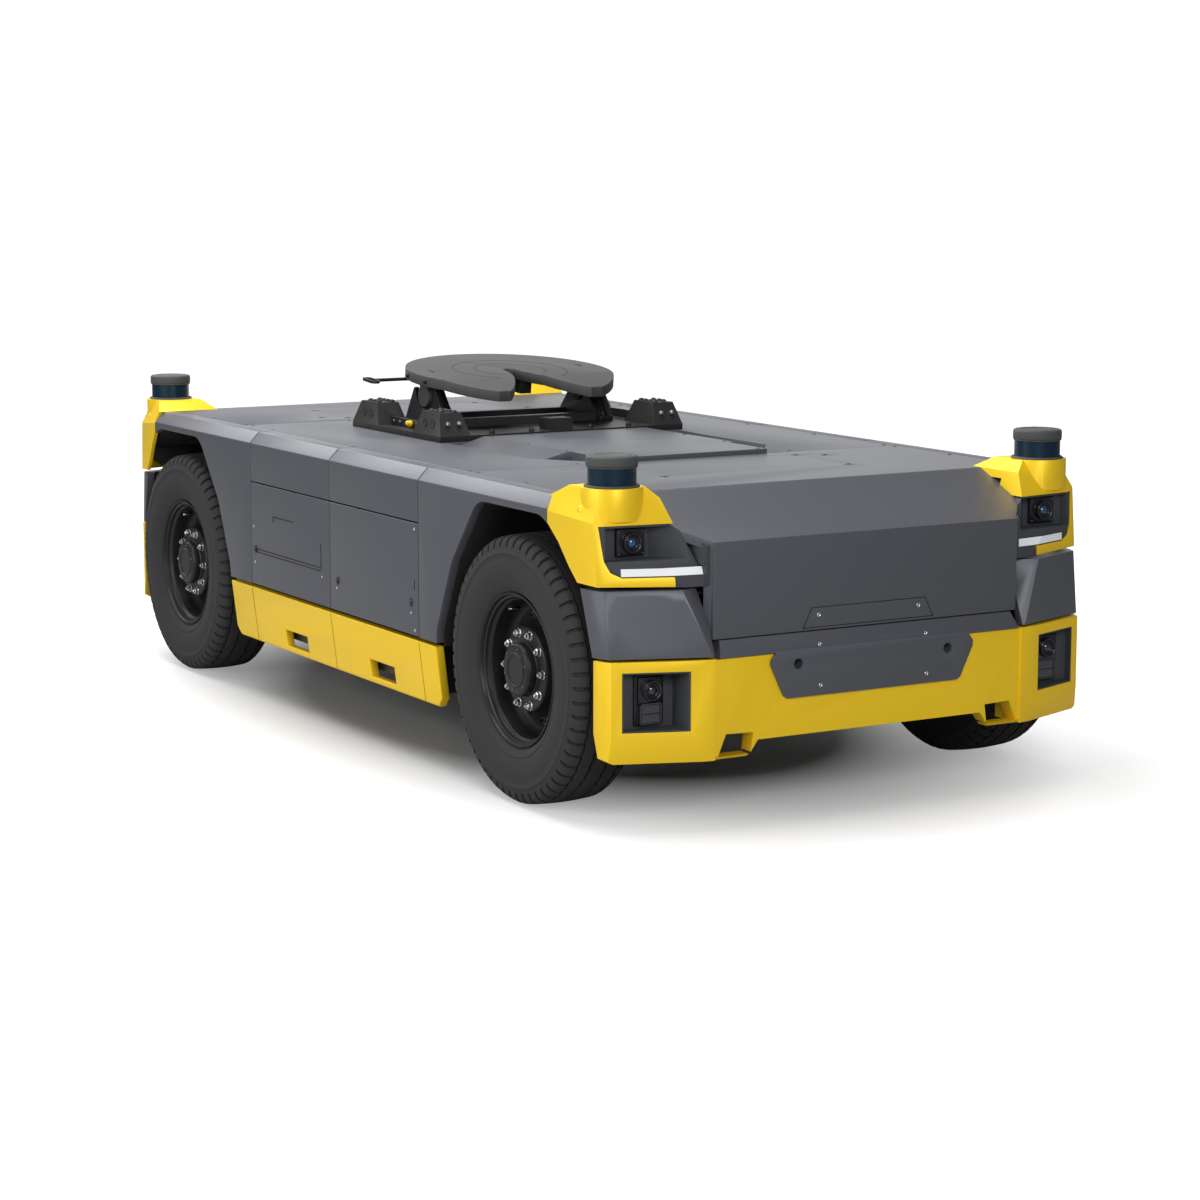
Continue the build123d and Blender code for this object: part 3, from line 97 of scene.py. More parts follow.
class TractorColours(bpy.types.PropertyGroup):
    """Colours of the finishes."""
    grey: colour("Panel grey", "Satin paint of the panels", (0.02, 0.0215, 0.026))
    yellow: colour("Yellow", "Paint of bumpers, sills and caps", (0.96, 0.61, 0.001))
    rubber: colour("Rubber", "Tyres", (0.013, 0.013, 0.0132))
    rim: colour("Rim black", "Gloss enamel of the rims", (0.0035, 0.0035, 0.0037))
    chassis: colour("Chassis black", "Frame and axles", (0.016, 0.016, 0.017))
    plastic: colour("Dark plastic", "Lamp housings", (0.018, 0.02, 0.025))
    coupling: colour("Coupling black", "Coupling base and brackets", (0.0075, 0.0075, 0.008))
    steel: colour("Cast steel", "Coupling plate", (0.055, 0.056, 0.059))
    bright: colour("Bright zinc", "Nuts and screws", (0.55, 0.55, 0.56))
    window: colour("Lidar window", "Dark blue glass", (0.0, 0.012, 0.03))
    dust: colour("Dust", "Dry road dust", (0.3, 0.285, 0.26))
    floor: colour("Floor", "Pale studio floor", (0.45, 0.45, 0.45))


def sizes():
    return bpy.context.scene.tractor_sizes


def colours():
    return bpy.context.scene.tractor_colours


# Shared effects
def group(name, inputs, outputs):
    """Empty shader group with named float inputs (name, default) and float outputs."""
    tree = bpy.data.node_groups.new(name, "ShaderNodeTree")
    for label, value in inputs:
        tree.interface.new_socket(label, in_out="INPUT", socket_type="NodeSocketFloat").default_value = value
    for label in outputs:
        tree.interface.new_socket(label, in_out="OUTPUT", socket_type="NodeSocketFloat")
    return tree, tree.nodes.new("NodeGroupInput"), tree.nodes.new("NodeGroupOutput")


def math_node(tree, operation, first, second):
    """Math node of two values, each a number or a socket."""
    made = tree.nodes.new("ShaderNodeMath")
    made.operation = operation
    for index, value in enumerate((first, second)):
        if isinstance(value, (int, float)):
            made.inputs[index].default_value = value
        else:
            tree.links.new(made.inputs[index], value)
    return made.outputs[0]


def ramp(tree, source, low, high):
    """Value rescaled so that low gives 0 and high gives 1, held between them."""
    made = tree.nodes.new("ShaderNodeMapRange")
    made.inputs["From Min"].default_value = low
    made.inputs["From Max"].default_value = high
    tree.links.new(made.inputs["Value"], source)
    return made.outputs["Result"]


def noise(tree, scale, detail=3.0):
    """Noise on Object coordinates; scale is a number or a socket."""
    place = tree.nodes.new("ShaderNodeTexCoord").outputs["Object"]
    made = tree.nodes.new("ShaderNodeTexNoise")
    made.inputs["Detail"].default_value = detail
    tree.links.new(made.inputs["Vector"], place)
    if isinstance(scale, (int, float)):
        made.inputs["Scale"].default_value = scale
    else:
        tree.links.new(made.inputs["Scale"], scale)
    return made.outputs["Fac"]


def build_effects():
    """Grain: fine texture and slow shade. Wear: rubbed edges. Dust: low and upward faces."""
    tree, given, result = group("Grain", [("Scale", 400.0), ("Patch", 3.0)], ["Height", "Shade"])
    fine = noise(tree, given.outputs["Scale"], 2.0)
    patch = noise(tree, given.outputs["Patch"], 4.0)
    tree.links.new(result.inputs["Height"], fine)
    tree.links.new(result.inputs["Shade"], ramp(tree, patch, 0.3, 0.7))

    tree, given, result = group("Wear", [("Low", 0.53), ("High", 0.6)], ["Mask"])
    bent = tree.nodes.new("ShaderNodeNewGeometry").outputs["Pointiness"]
    made = tree.nodes.new("ShaderNodeMapRange")
    tree.links.new(made.inputs["Value"], bent)
    tree.links.new(made.inputs["From Min"], given.outputs["Low"])
    tree.links.new(made.inputs["From Max"], given.outputs["High"])
    patchy = ramp(tree, noise(tree, 28.0, 5.0), 0.42, 0.66)
    tree.links.new(result.inputs["Mask"], math_node(tree, "MULTIPLY", made.outputs["Result"], patchy))

    tree, given, result = group("Dust", [("Top", 0.9), ("Up", 0.1), ("Low", 0.35)], ["Mask"])
    place = tree.nodes.new("ShaderNodeSeparateXYZ")
    tree.links.new(place.inputs[0], tree.nodes.new("ShaderNodeTexCoord").outputs["Object"])
    height = math_node(tree, "DIVIDE", place.outputs["Z"], given.outputs["Top"])
    low = math_node(tree, "MULTIPLY", ramp(tree, height, 1.0, 0.0), given.outputs["Low"])
    facing = tree.nodes.new("ShaderNodeSeparateXYZ")
    tree.links.new(facing.inputs[0], tree.nodes.new("ShaderNodeNewGeometry").outputs["Normal"])
    upward = math_node(tree, "MULTIPLY", ramp(tree, facing.outputs["Z"], 0.5, 1.0), given.outputs["Up"])
    both = math_node(tree, "ADD", low, upward)
    cloud = ramp(tree, noise(tree, 9.0, 6.0), 0.35, 0.75)
    tree.links.new(result.inputs["Mask"], math_node(tree, "MULTIPLY", both, cloud))


def effect(tree, name, **values):
    """One of the shared effects, placed with its own values."""
    made = tree.nodes.new("ShaderNodeGroup")
    made.node_tree = bpy.data.node_groups[name]
    for key, value in values.items():
        made.inputs[key].default_value = value
    return made.outputs


def blend_colour(tree, mask, first, second):
    """Mix of two colours, each a colour or a socket, by a mask."""
    made = tree.nodes.new("ShaderNodeMix")
    made.data_type = "RGBA"
    tree.links.new(made.inputs["Factor"], mask)
    for socket, value in ((made.inputs[6], first), (made.inputs[7], second)):
        if isinstance(value, tuple):
            socket.default_value = (*value, 1.0)
        else:
            tree.links.new(socket, value)
    return made.outputs[2]


def scaled(value, factor):
    return tuple(min(1.0, channel * factor) for channel in value)


def new_surface(name):
    """Node material with its tree and its main shader."""
    mat = bpy.data.materials.new(name)
    mat.use_nodes = True
    return mat, mat.node_tree, mat.node_tree.nodes["Principled BSDF"]


def finish(name, base, rough, grain=450.0, bump=0.02, shade=0.16, spread=0.08, patch=2.2, wear=None,
           dust=(0.9, 0.1, 0.25), metallic=0.0, coat=0.0, coat_rough=0.1, specular=0.5):
    """Surface with grain, slow shade, rubbed edges and dust; wear is the colour under the paint."""
    mat, tree, shader = new_surface(name)
    texture = effect(tree, "Grain", Scale=grain, Patch=patch)
    shown = blend_colour(tree, texture["Shade"], scaled(base, 1 - shade), scaled(base, 1 + shade))
    if wear:
        shown = blend_colour(tree, effect(tree, "Wear")["Mask"], shown, wear)
    if dust:
        mask = effect(tree, "Dust", Top=dust[0], Up=dust[1], Low=dust[2])["Mask"]
        shown = blend_colour(tree, mask, shown, tuple(colours().dust))
    tree.links.new(shader.inputs["Base Color"], shown)
    made = tree.nodes.new("ShaderNodeMapRange")
    made.inputs["To Min"].default_value = max(0.02, rough - spread)
    made.inputs["To Max"].default_value = rough + spread
    tree.links.new(made.inputs["Value"], texture["Shade"])
    tree.links.new(shader.inputs["Roughness"], made.outputs["Result"])
    relief = tree.nodes.new("ShaderNodeBump")
    relief.inputs["Strength"].default_value = bump
    relief.inputs["Distance"].default_value = 0.002
    tree.links.new(relief.inputs["Height"], texture["Height"])
    tree.links.new(shader.inputs["Normal"], relief.outputs["Normal"])
    shader.inputs["Metallic"].default_value = metallic
    shader.inputs["Coat Weight"].default_value = coat
    shader.inputs["Coat Roughness"].default_value = coat_rough
    shader.inputs["Specular IOR Level"].default_value = specular
    return mat


def lit(name, strength):
    """White light behind a diffuser with a faint patchy tint."""
    mat, tree, shader = new_surface(name)
    texture = effect(tree, "Grain", Scale=90.0, Patch=30.0)
    shown = blend_colour(tree, texture["Shade"], (0.93, 0.96, 1.0), (1.0, 1.0, 1.0))
    tree.links.new(shader.inputs["Emission Color"], shown)
    tree.links.new(shader.inputs["Base Color"], shown)
    shader.inputs["Emission Strength"].default_value = strength
    shader.inputs["Roughness"].default_value = 0.3
    return mat


def build_finishes():
    """One finish for each material slot of the record, and those of the added pieces."""
    c = colours()
    build_effects()
    primer = (0.3, 0.3, 0.31)
    steel = (0.34, 0.33, 0.32)
    finish("panel_grey", tuple(c.grey), 0.36, grain=900.0, bump=0.05, shade=0.07, spread=0.05, patch=1.3,
           wear=primer, dust=(0.7, 0.02, 0.03), specular=0.28)
    finish("safety_yellow", tuple(c.yellow), 0.36, grain=500.0, bump=0.03, shade=0.035, spread=0.05,
           patch=1.6, wear=(0.9, 0.6, 0.03), dust=(0.45, 0.0, 0.02), specular=0.15)
    finish("rim_black", tuple(c.rim), 0.27, grain=300.0, bump=0.03, wear=(0.1, 0.1, 0.1),
           dust=(1.3, 0.0, 0.015), coat=0.15, coat_rough=0.12, specular=0.3)
    finish("tyre", tuple(c.rubber), 0.5, grain=650.0, bump=0.16, shade=0.2, patch=6.0,
           dust=(0.6, 0.02, 0.03), specular=0.6)
    finish("chassis_black", tuple(c.chassis), 0.5, grain=380.0, bump=0.08, wear=steel,
           dust=(1.3, 0.25, 0.3))
    finish("bellows_rubber", tuple(c.rubber), 0.66, grain=500.0, bump=0.12, dust=(1.2, 0.2, 0.25))
    finish("battery_case", (0.035, 0.036, 0.04), 0.45, grain=260.0, bump=0.08, dust=(1.3, 0.2, 0.25))
    finish("liner_plastic", (0.006, 0.006, 0.0062), 0.7, grain=240.0, bump=0.2, dust=(1.2, 0.03, 0.05))
    finish("housing_plastic", tuple(c.plastic), 0.52, grain=700.0, bump=0.12, dust=(1.3, 0.06, 0.05))
    lit("light_bar", 5.0)
    finish("lamp_black", (0.008, 0.008, 0.009), 0.2, grain=200.0, bump=0.01, dust=None, coat=0.5,
           coat_rough=0.05)
    finish("lidar_glass", tuple(c.window), 0.1, grain=60.0, bump=0.004, shade=0.25, spread=0.04,
           patch=14.0, dust=None, specular=0.2)
    finish("lidar_cap", (0.016, 0.017, 0.018), 0.36, grain=600.0, bump=0.1, wear=(0.16, 0.16, 0.16),
           dust=(1.6, 0.02, 0.0))
    finish("coupling_black", tuple(c.coupling), 0.38, grain=280.0, bump=0.12, wear=steel,
           dust=(1.6, 0.03, 0.01), coat=0.25)
    finish("coupling_steel", tuple(c.steel), 0.43, grain=160.0, bump=0.14, shade=0.22, spread=0.1,
           patch=5.0, wear=(0.3, 0.3, 0.3), dust=(1.8, 0.02, 0.0), metallic=0.15)
    finish("bright_zinc", tuple(c.bright), 0.28, grain=420.0, bump=0.05, shade=0.18, patch=40.0,
           dust=None, metallic=1.0)
    finish("dark_screw", (0.1, 0.1, 0.105), 0.36, grain=420.0, bump=0.05, patch=40.0, dust=None,
           metallic=0.8)
    # Black of the shut lines and bars, and painted shade in the rims' hand holes, the blocks' holes and the plate's
    # slots
    finish("seam_black", (0.006, 0.006, 0.0065), 0.75, grain=500.0, bump=0.05, dust=None)
    # A darkened copy of the yellow: painted shade in the creases down the sill
    finish("seam_yellow", scaled(tuple(c.yellow), 0.32), 0.6, grain=300.0, bump=0.03, dust=None)
    finish("lens_glass", (0.01, 0.012, 0.016), 0.06, grain=80.0, bump=0.002, patch=60.0, spread=0.02,
           dust=None, coat=1.0, coat_rough=0.02)
    # Camera lens: its patchy blue base colour is a painted blue reflection
    finish("lens_blue", (0.01, 0.055, 0.15), 0.12, grain=80.0, bump=0.002, shade=0.7, patch=45.0,
           spread=0.05, dust=None, coat=1.0, coat_rough=0.02)
    finish("grease_cap", tuple(c.yellow), 0.4, grain=300.0, bump=0.03, dust=None)


# Mesh helpers
def placed(name, data):
    """New object, linked into the scene's collection."""
    item = bpy.data.objects.new(name, data)
    bpy.context.collection.objects.link(item)
    return item


def add_piece(name, points, faces, body, slot, material=None, smooth=True):
    """Mesh from arrays of points and faces, its doubles merged and its faces turned outwards; its
    material is its slot's where none is given."""
    mesh = bpy.data.meshes.new(name)
    mesh.from_pydata(np.asarray(points).tolist(), [], np.asarray(faces).tolist())
    work = bmesh.new()
    work.from_mesh(mesh)
    bmesh.ops.remove_doubles(work, verts=work.verts, dist=1e-6)
    bmesh.ops.recalc_face_normals(work, faces=work.faces)
    for face in work.faces:
        face.smooth = smooth
    work.to_mesh(mesh)
    work.free()
    mesh.materials.append(bpy.data.materials[material or slot])
    piece = placed(name, mesh)
    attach(piece, body)
    return piece


def grid_faces(rows, columns, wrap=False):
    """Quads of a grid of points, joined round along its columns when wrap is set."""
    first = np.arange(rows - 1)[:, None] * columns
    last = columns if wrap else columns - 1
    here = np.arange(last)[None, :]
    there = (here + 1) % columns
    quads = np.stack([first + here, first + there, first + columns + there, first + columns + here], -1)
    return quads.reshape(-1, 4)


def turned(profile, count):
    """Profile of (radius, height) turned about Z: x = r cos a, y = r sin a, z = height."""
    profile = np.asarray(profile, float)
    angle = np.arange(count) * 2 * np.pi / count
    x = profile[:, :1] * np.cos(angle)
    y = profile[:, :1] * np.sin(angle)
    z = np.repeat(profile[:, 1:], count, axis=1)
    return np.stack([x, y, z], -1).reshape(-1, 3), grid_faces(len(profile), count, wrap=True)


def copies(shape, places):
    """One shape repeated: each copy's points are the shape's, turned and moved by its 4 by 4 matrix."""
    points, faces = shape
    places = np.asarray(places, float)
    flat = np.c_[points, np.ones(len(points))]
    moved = np.einsum("kij,nj->kni", places, flat)[..., :3].reshape(-1, 3)
    shift = np.arange(len(places))[:, None, None] * len(points)
    return moved, (faces[None] + shift).reshape(-1, faces.shape[1])


UP = (0, 0, 1)


def stand(point, normal, spin=0.0):
    """Matrix that stands a shape's Z along normal at point, turned about it by spin."""
    turn = Vector(normal).to_track_quat("Z", "Y").to_matrix() @ Matrix.Rotation(spin, 3, "Z")
    return np.array(Matrix.Translation(Vector(point)) @ turn.to_4x4())


def at_corner(place, direction, ex, sy):
    """Matrix that stands a shape at a place given for the +X, +Y corner."""
    return stand((ex * place[0], sy * place[1], place[2]),
                 (ex * direction[0], sy * direction[1], direction[2]))


def joined(shapes):
    """Several shapes of quads as one."""
    points, faces, count = [], [], 0
    for these, quads in shapes:
        points.append(these)
        faces.append(quads + count)
        count += len(these)
    return np.concatenate(points), np.concatenate(faces)


def block(size, place, matrix=None):
    """Box of given size about a place: eight corners and six quads."""
    signs = np.array([[x, y, z] for x in (-1, 1) for y in (-1, 1) for z in (-1, 1)], float)
    points = signs * np.asarray(size) / 2 + np.asarray(place)
    if matrix is not None:
        points = np.c_[points, np.ones(8)] @ np.asarray(matrix).T[:, :3]
    quads = np.array([[0, 1, 3, 2], [4, 6, 7, 5], [0, 4, 5, 1], [2, 3, 7, 6], [0, 2, 6, 4], [1, 5, 7, 3]])
    return points, quads


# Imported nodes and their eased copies
EASED = {
    "yellow_edge": ("corner_caps", "corner_bases", "bumpers", "skirts"),
    "grey_edge": ("fenders", "side_panels", "hood_trailer_end", "hood_lead_end", "deck", "deck_cover",
                  "corner_bands", "bumper_plates", "lamp_housings", "lidar_caps",
                  *[f"door_{name}" for name, _, _ in CORNERS]),
    "steel_edge": ("coupling_base", "coupling_saddles", "coupling_plate", "coupling_lock", "lamps"),
}


WELD = 2e-5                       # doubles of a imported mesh
JOINT_WELD = 5e-4                 # across the joint in the bumper
FLAT_ANGLE = math.radians(1.0)    # faces flatter than this are joined
EDGE_ANGLE = math.radians(18)     # edges sharper than this are rounded


def merge_flat(work):
    """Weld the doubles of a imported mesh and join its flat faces."""
    bmesh.ops.remove_doubles(work, verts=work.verts, dist=WELD)
    bmesh.ops.dissolve_limit(work, angle_limit=FLAT_ANGLE, verts=work.verts, edges=work.edges)


def join_ends(work):
    """Close the fine joint between the bumper's pieces, which the real moulding doesn't show."""
    merge_flat(work)
    bmesh.ops.remove_doubles(work, verts=work.verts, dist=JOINT_WELD)
    faces = {}
    for face in work.faces:
        faces.setdefault(frozenset(corner.index for corner in face.verts), []).append(face)
    inside = [face for found in faces.values() if len(found) > 1 for face in found]
    bmesh.ops.delete(work, geom=inside, context="FACES")


def eased_copy(name, width):
    """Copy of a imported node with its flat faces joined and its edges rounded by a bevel."""
    mesh = NODES[name].data.copy()
    mesh.name = f"{name}_eased"
    work = bmesh.new()
    work.from_mesh(mesh)
    if name == "bumpers":
        join_ends(work)
    merge_flat(work)
    for face in work.faces:
        face.smooth = True
    work.to_mesh(mesh)
    work.free()
    slot = SLOT_OF[name]
    mesh.materials.clear()
    mesh.materials.append(bpy.data.materials[slot])
    piece = placed(mesh.name, mesh)
    bevel = piece.modifiers.new("edges", "BEVEL")
    bevel.width = width
    bevel.segments = 3
    bevel.limit_method = "ANGLE"
    bevel.angle_limit = EDGE_ANGLE
    bevel.harden_normals = True
    bevel.use_clamp_overlap = True
    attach(piece, BODY_OF[name])
    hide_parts(name)
    return piece


class TRACTOR_OT_surfaces(bpy.types.Operator):
    """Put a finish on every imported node, and ease the edges of those that show"""
    bl_idname = "tractor.surfaces"
    bl_label = "Panels and surfaces"

    def execute(self, context):
        build_finishes()
        for name, item in NODES.items():
            item.data.materials.clear()
            item.data.materials.append(bpy.data.materials[SLOT_OF[name]])
        for size, names in EASED.items():
            for name in names:
                eased_copy(name, getattr(sizes(), size))
        return {"FINISHED"}


# Wheels
def wheel_place(name):
    """Matrix of a wheel: Z runs outwards from the tyre's centre plane."""
    low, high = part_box(f"tyre_{name}")
    centre = [(a + b) / 2 for a, b in zip(low, high)]
    outward = 1 if centre[1] > 0 else -1
    return stand(centre, (0, outward, 0))


# Half of the tyre's section: half width, radius, depth share of a groove, depth share of a lug's notch
TREAD_ROWS = (
    (0.0, 0.522, 0, 0), (0.029, 0.5216, 0, 0), (0.0292, 0.5216, 1, 0), (0.0388, 0.5213, 1, 0),
    (0.039, 0.5213, 0, 0), (0.062, 0.5202, 0, 0), (0.085, 0.5187, 0, 0), (0.0852, 0.5187, 1, 0),
    (0.0948, 0.5179, 1, 0), (0.095, 0.5179, 0, 0), (0.0955, 0.5178, 0, 0.9), (0.104, 0.5171, 0, 1),
    (0.115, 0.5155, 0, 1), (0.1262, 0.508, 0, 1), (0.1352, 0.5, 0, 1), (0.1395, 0.49, 0, 0.8),
    (0.142, 0.48, 0, 0.55), (0.1432, 0.474, 0, 0), (0.1448, 0.466, 0, 0), (0.1462, 0.456, 0, 0),
    (0.1488, 0.453, 0, 0), (0.149, 0.448, 0, 0), (0.1472, 0.445, 0, 0), (0.1488, 0.425, 0, 0),
    (0.1498, 0.405, 0, 0), (0.1492, 0.385, 0, 0), (0.1468, 0.365, 0, 0), (0.1425, 0.345, 0, 0),
    (0.1398, 0.338, 0, 0), (0.1414, 0.335, 0, 0), (0.1398, 0.331, 0, 0), (0.134, 0.318, 0, 0),
    (0.122, 0.305, 0, 0), (0.115, 0.299, 0, 0), (0.11, 0.287, 0, 0),
)


NOTCH_TURN = (0.0, 0.03, 0.26, 0.29, 0.52, 0.77)   # shares of one lug's pitch
NOTCH_DEPTH = (0, 1, 1, 0, 0, 0)                   # depth of the notch at each
RIB_PLACE, RIB_REACH, RIB_SWAY = 0.062, 0.0335, 0.0028
SHOULDER_START, SHOULDER_WIDTH, SHOULDER_SHARE = 0.11, 0.03, 0.6
TYRE_SPLIT = math.radians(38)
RIM_SPLIT = math.radians(42)


def tyre_shape():
    """Turned section whose radius drops in the grooves, and whose shoulder is notched once a lug:
    r = section radius - depth * groove, and in a notch both r and the width shrink by the notch."""
    s = sizes()
    half = np.array(TREAD_ROWS)
    rows = np.r_[half[::-1] * (-1, 1, 1, 1), half[1:], half[-1:] * (-1, 1, 1, 1)]
    pitch = 2 * np.pi / s.lug_count
    angle = (np.arange(s.lug_count)[:, None] * pitch + np.array(NOTCH_TURN) * pitch).ravel()
    cut = np.tile(NOTCH_DEPTH, s.lug_count)
    side = np.sign(rows[:, :1])
    angle = angle + np.where(side < 0, pitch / 2, 0)
    depth = rows[:, 3:] * cut * s.tread_depth
    across = np.abs(rows[:, :1])
    zigzag = (np.abs(across - RIB_PLACE) < RIB_REACH) * np.sin(angle * s.lug_count) * RIB_SWAY
    steep = np.clip((across - SHOULDER_START) / SHOULDER_WIDTH, 0, 1)
    radius = rows[:, 1:2] - rows[:, 2:3] * s.tread_depth - depth * (1 - steep * SHOULDER_SHARE)
    width = rows[:, :1] - side * depth * steep + zigzag
    points = np.stack([radius * np.cos(angle), radius * np.sin(angle), width + 0 * angle], -1)
    return points.reshape(-1, 3), grid_faces(len(rows), angle.shape[1], wrap=True)


class TRACTOR_OT_tyres(bpy.types.Operator):
    """Make the tyres: grooved tread, notched shoulders and ridged walls"""
    bl_idname = "tractor.tyres"
    bl_label = "Tyres"

    def execute(self, context):
        shape = tyre_shape()
        for name, _, _ in CORNERS:
            points, faces = copies(shape, [wheel_place(name)])
            piece = add_piece(f"tread_{name}", points, faces, f"wheel_{name}", "tyre")
            piece.modifiers.new("sharp", "EDGE_SPLIT").split_angle = TYRE_SPLIT
            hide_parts(f"tyre_{name}")
        return {"FINISHED"}


# Section of the rim: radius, place outwards from the tyre's centre plane
RIM_SECTION = (
    (0.0, 0.1255), (0.058, 0.1255), (0.06, 0.1285), (0.066, 0.1285), (0.068, 0.1255), (0.09, 0.125),
    (0.098, 0.1215), (0.102, 0.115), (0.103, 0.106), (0.103, 0.088), (0.107, 0.084), (0.158, 0.0825),
    (0.164, 0.08), (0.167, 0.074), (0.17, 0.052), (0.18, 0.038), (0.205, 0.013), (0.222, 0.002),
    (0.24, -0.002), (0.252, 0.004), (0.262, 0.02), (0.267, 0.034), (0.268, 0.08),
    (0.27, 0.086), (0.276, 0.09), (0.279, 0.096), (0.28, 0.106), (0.286, 0.111), (0.2915, 0.113),
    (0.296, 0.1165), (0.2985, 0.1205), (0.2982, 0.1245), (0.2955, 0.126), (0.292, 0.125),
    (0.2885, 0.118), (0.2865, 0.11), (0.2865, -0.11), (0.2985, -0.114), (0.2985, -0.126),
    (0.272, -0.126), (0.272, -0.006), (0.24, -0.014), (0.206, -0.01), (0.206, -0.062),
    (0.12, -0.068), (0.0485, -0.068), (0.0485, 0.0715), (0.0, 0.0715),
)
NUT = ((0.0, 0.0), (1.0, 0.0), (1.0, 0.9), (0.86, 1.1), (0.55, 1.1), (0.52, 1.5), (0.42, 1.62), (0.0, 1.62))
WASHER = ((0.0, 0.0), (1.22, 0.0), (1.22, 0.12), (1.14, 0.18), (0.0, 0.18))
DOME = ((0.0, 0.0), (1.0, 0.0), (1.0, 0.28), (0.9, 0.52), (0.66, 0.72), (0.36, 0.82), (0.0, 0.86))
LATCH = ((0.0, 0.0), (1.0, 0.0), (1.0, 0.3), (0.86, 0.48), (0.42, 0.48), (0.34, 0.8), (0.0, 0.8))
SCREW = ((0.0, 0.0), (1.0, 0.0), (0.96, 0.14), (0.78, 0.26), (0.5, 0.3), (0.44, 0.16), (0.0, 0.16))
HOLE_LIP = ((0.03, -0.004), (0.03, 0.004), (0.027, 0.006), (0.023, 0.004), (0.021, -0.004))
HOLE_SHADE = ((0.0, 0.0), (0.0225, 0.0), (0.0225, -0.002), (0.0, -0.002))
VALVE = ((0.0, 0.0), (0.006, 0.0), (0.006, 0.034), (0.0045, 0.036), (0.0045, 0.046), (0.0, 0.046))
NUT_FACE = 0.083
HUB_BOLTS = (6, 0.083, 0.1245, 0.3)       # count, radius of the circle, place outwards, first angle
HAND_HOLES = (8, 0.207, 0.0125, 0.2)
HAND_HOLE_TILT = math.radians(40)
VALVE_TURN, VALVE_PLACE = 2.2, (0.262, 0, 0.022)


def fastener(section, radius, count):
    """Small turned shape whose section is given in shares of its radius."""
    return turned(np.array(section) * radius, count)


def ring_places(count, radius, height, start=0.0):
    """Matrices of places evenly round a circle about Z, each turned to face out of it."""
    angle = start + np.arange(count) * 2 * np.pi / count
    return [np.array(Matrix.Rotation(a, 4, "Z") @ Matrix.Translation((radius, 0, height))) for a in angle]


class TRACTOR_OT_rims(bpy.types.Operator):
    """Make the rims with hub, wheel nuts, hand holes and valve"""
    bl_idname = "tractor.rims"
    bl_label = "Rims and nuts"

    def execute(self, context):
        s = sizes()
        hexagon = fastener(NUT, s.nut_radius, 6)
        disc = fastener(WASHER, s.nut_radius, 20)
        nuts = ring_places(s.nut_count, s.nut_circle / 2, NUT_FACE)
        hub_bolts = ring_places(*HUB_BOLTS)
        oval = Matrix.Diagonal((0.75, 1.35, 1, 1))
        tilt = np.array(Matrix.Rotation(HAND_HOLE_TILT, 4, "Y") @ oval)
        lips = [place @ tilt for place in ring_places(*HAND_HOLES)]
        hole, dark, valve = turned(HOLE_LIP, 28), turned(HOLE_SHADE, 28), turned(VALVE, 12)
        for name, _, _ in CORNERS:
            place = wheel_place(name)
            body = f"wheel_{name}"
            rim = add_piece(f"dish_{name}", *copies(turned(RIM_SECTION, 96), [place]), body, "rim_black")
            rim.modifiers.new("sharp", "EDGE_SPLIT").split_angle = RIM_SPLIT
            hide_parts(f"rim_{name}")
            parts = joined([copies(hexagon, place @ np.array(nuts)), copies(disc, place @ np.array(nuts))])
            add_piece(f"nuts_{name}", *parts, body, "rim_black", "bright_zinc", smooth=False)
            bolts = copies(fastener(DOME, 0.0055, 12), place @ np.array(hub_bolts))
            add_piece(f"hub_bolts_{name}", *bolts, body, "rim_black", "dark_screw")
            add_piece(f"hand_holes_{name}", *copies(hole, place @ np.array(lips)), body, "rim_black")
            # A dark disc in each hand hole: painted shade inside the hole
            add_piece(f"hand_hole_shade_{name}", *copies(dark, place @ np.array(lips)), body, "rim_black",
                      "seam_black")
            stem = place @ np.array(Matrix.Rotation(VALVE_TURN, 4, "Z") @ Matrix.Translation(VALVE_PLACE))
            add_piece(f"valve_{name}", *copies(valve, [stem]), body, "rim_black", "bright_zinc")
        return {"FINISHED"}


# Coupling
TILT_AXIS = (-0.46, 0.0, 1.385)
REST_TILT = math.radians(5.0)
PLATE_TOP = 0.105
RAMP_START = 0.19
RAMP_FALL = math.tan(math.radians(7.0))
BLOCK_CENTRES = ((-0.695, -0.545), (-0.695, 0.545), (-0.075, -0.545), (-0.075, 0.545))
BLOCK_TOP = 1.35
BLOCK_BOLTS = ((-0.06, -0.028), (-0.02, -0.03), (0.022, -0.028), (0.062, -0.03), (-0.042, 0.026),
               (0.005, 0.028), (0.045, 0.026))
BASE_TOP = 1.252
SIDE_LEVEL = 1.302                # holes and screws in the sides of the blocks
END_SLOPE = 0.51
RAIL_FOOT = 0.403


def plate_frame():
    """Matrix of the tilted plate, drawn about its pivot."""
    return np.array(Matrix.Translation(TILT_AXIS) @ Matrix.Rotation(REST_TILT, 4, "Y"))


def groove_arc(radius, start, width=0.0045):
    """Flat band round part of a circle on the plate's top; its height falls past the ramp's start:
    z = top - (x - start of ramp) * fall."""
    angle = np.linspace(start, 2 * np.pi - start, 121)
    across = np.array([-0.5, 0.5, 0.5, -0.5, -0.5]) * width
    lift = np.array([0.0005, 0.0005, -0.002, -0.002, 0.0005])
    r = radius + across[:, None]
    x, y = r * np.cos(angle), r * np.sin(angle)
    z = PLATE_TOP + lift[:, None] - np.clip(x - RAMP_START, 0, None) * RAMP_FALL
    return np.stack([x, y, z], -1).reshape(-1, 3), grid_faces(5, 121)


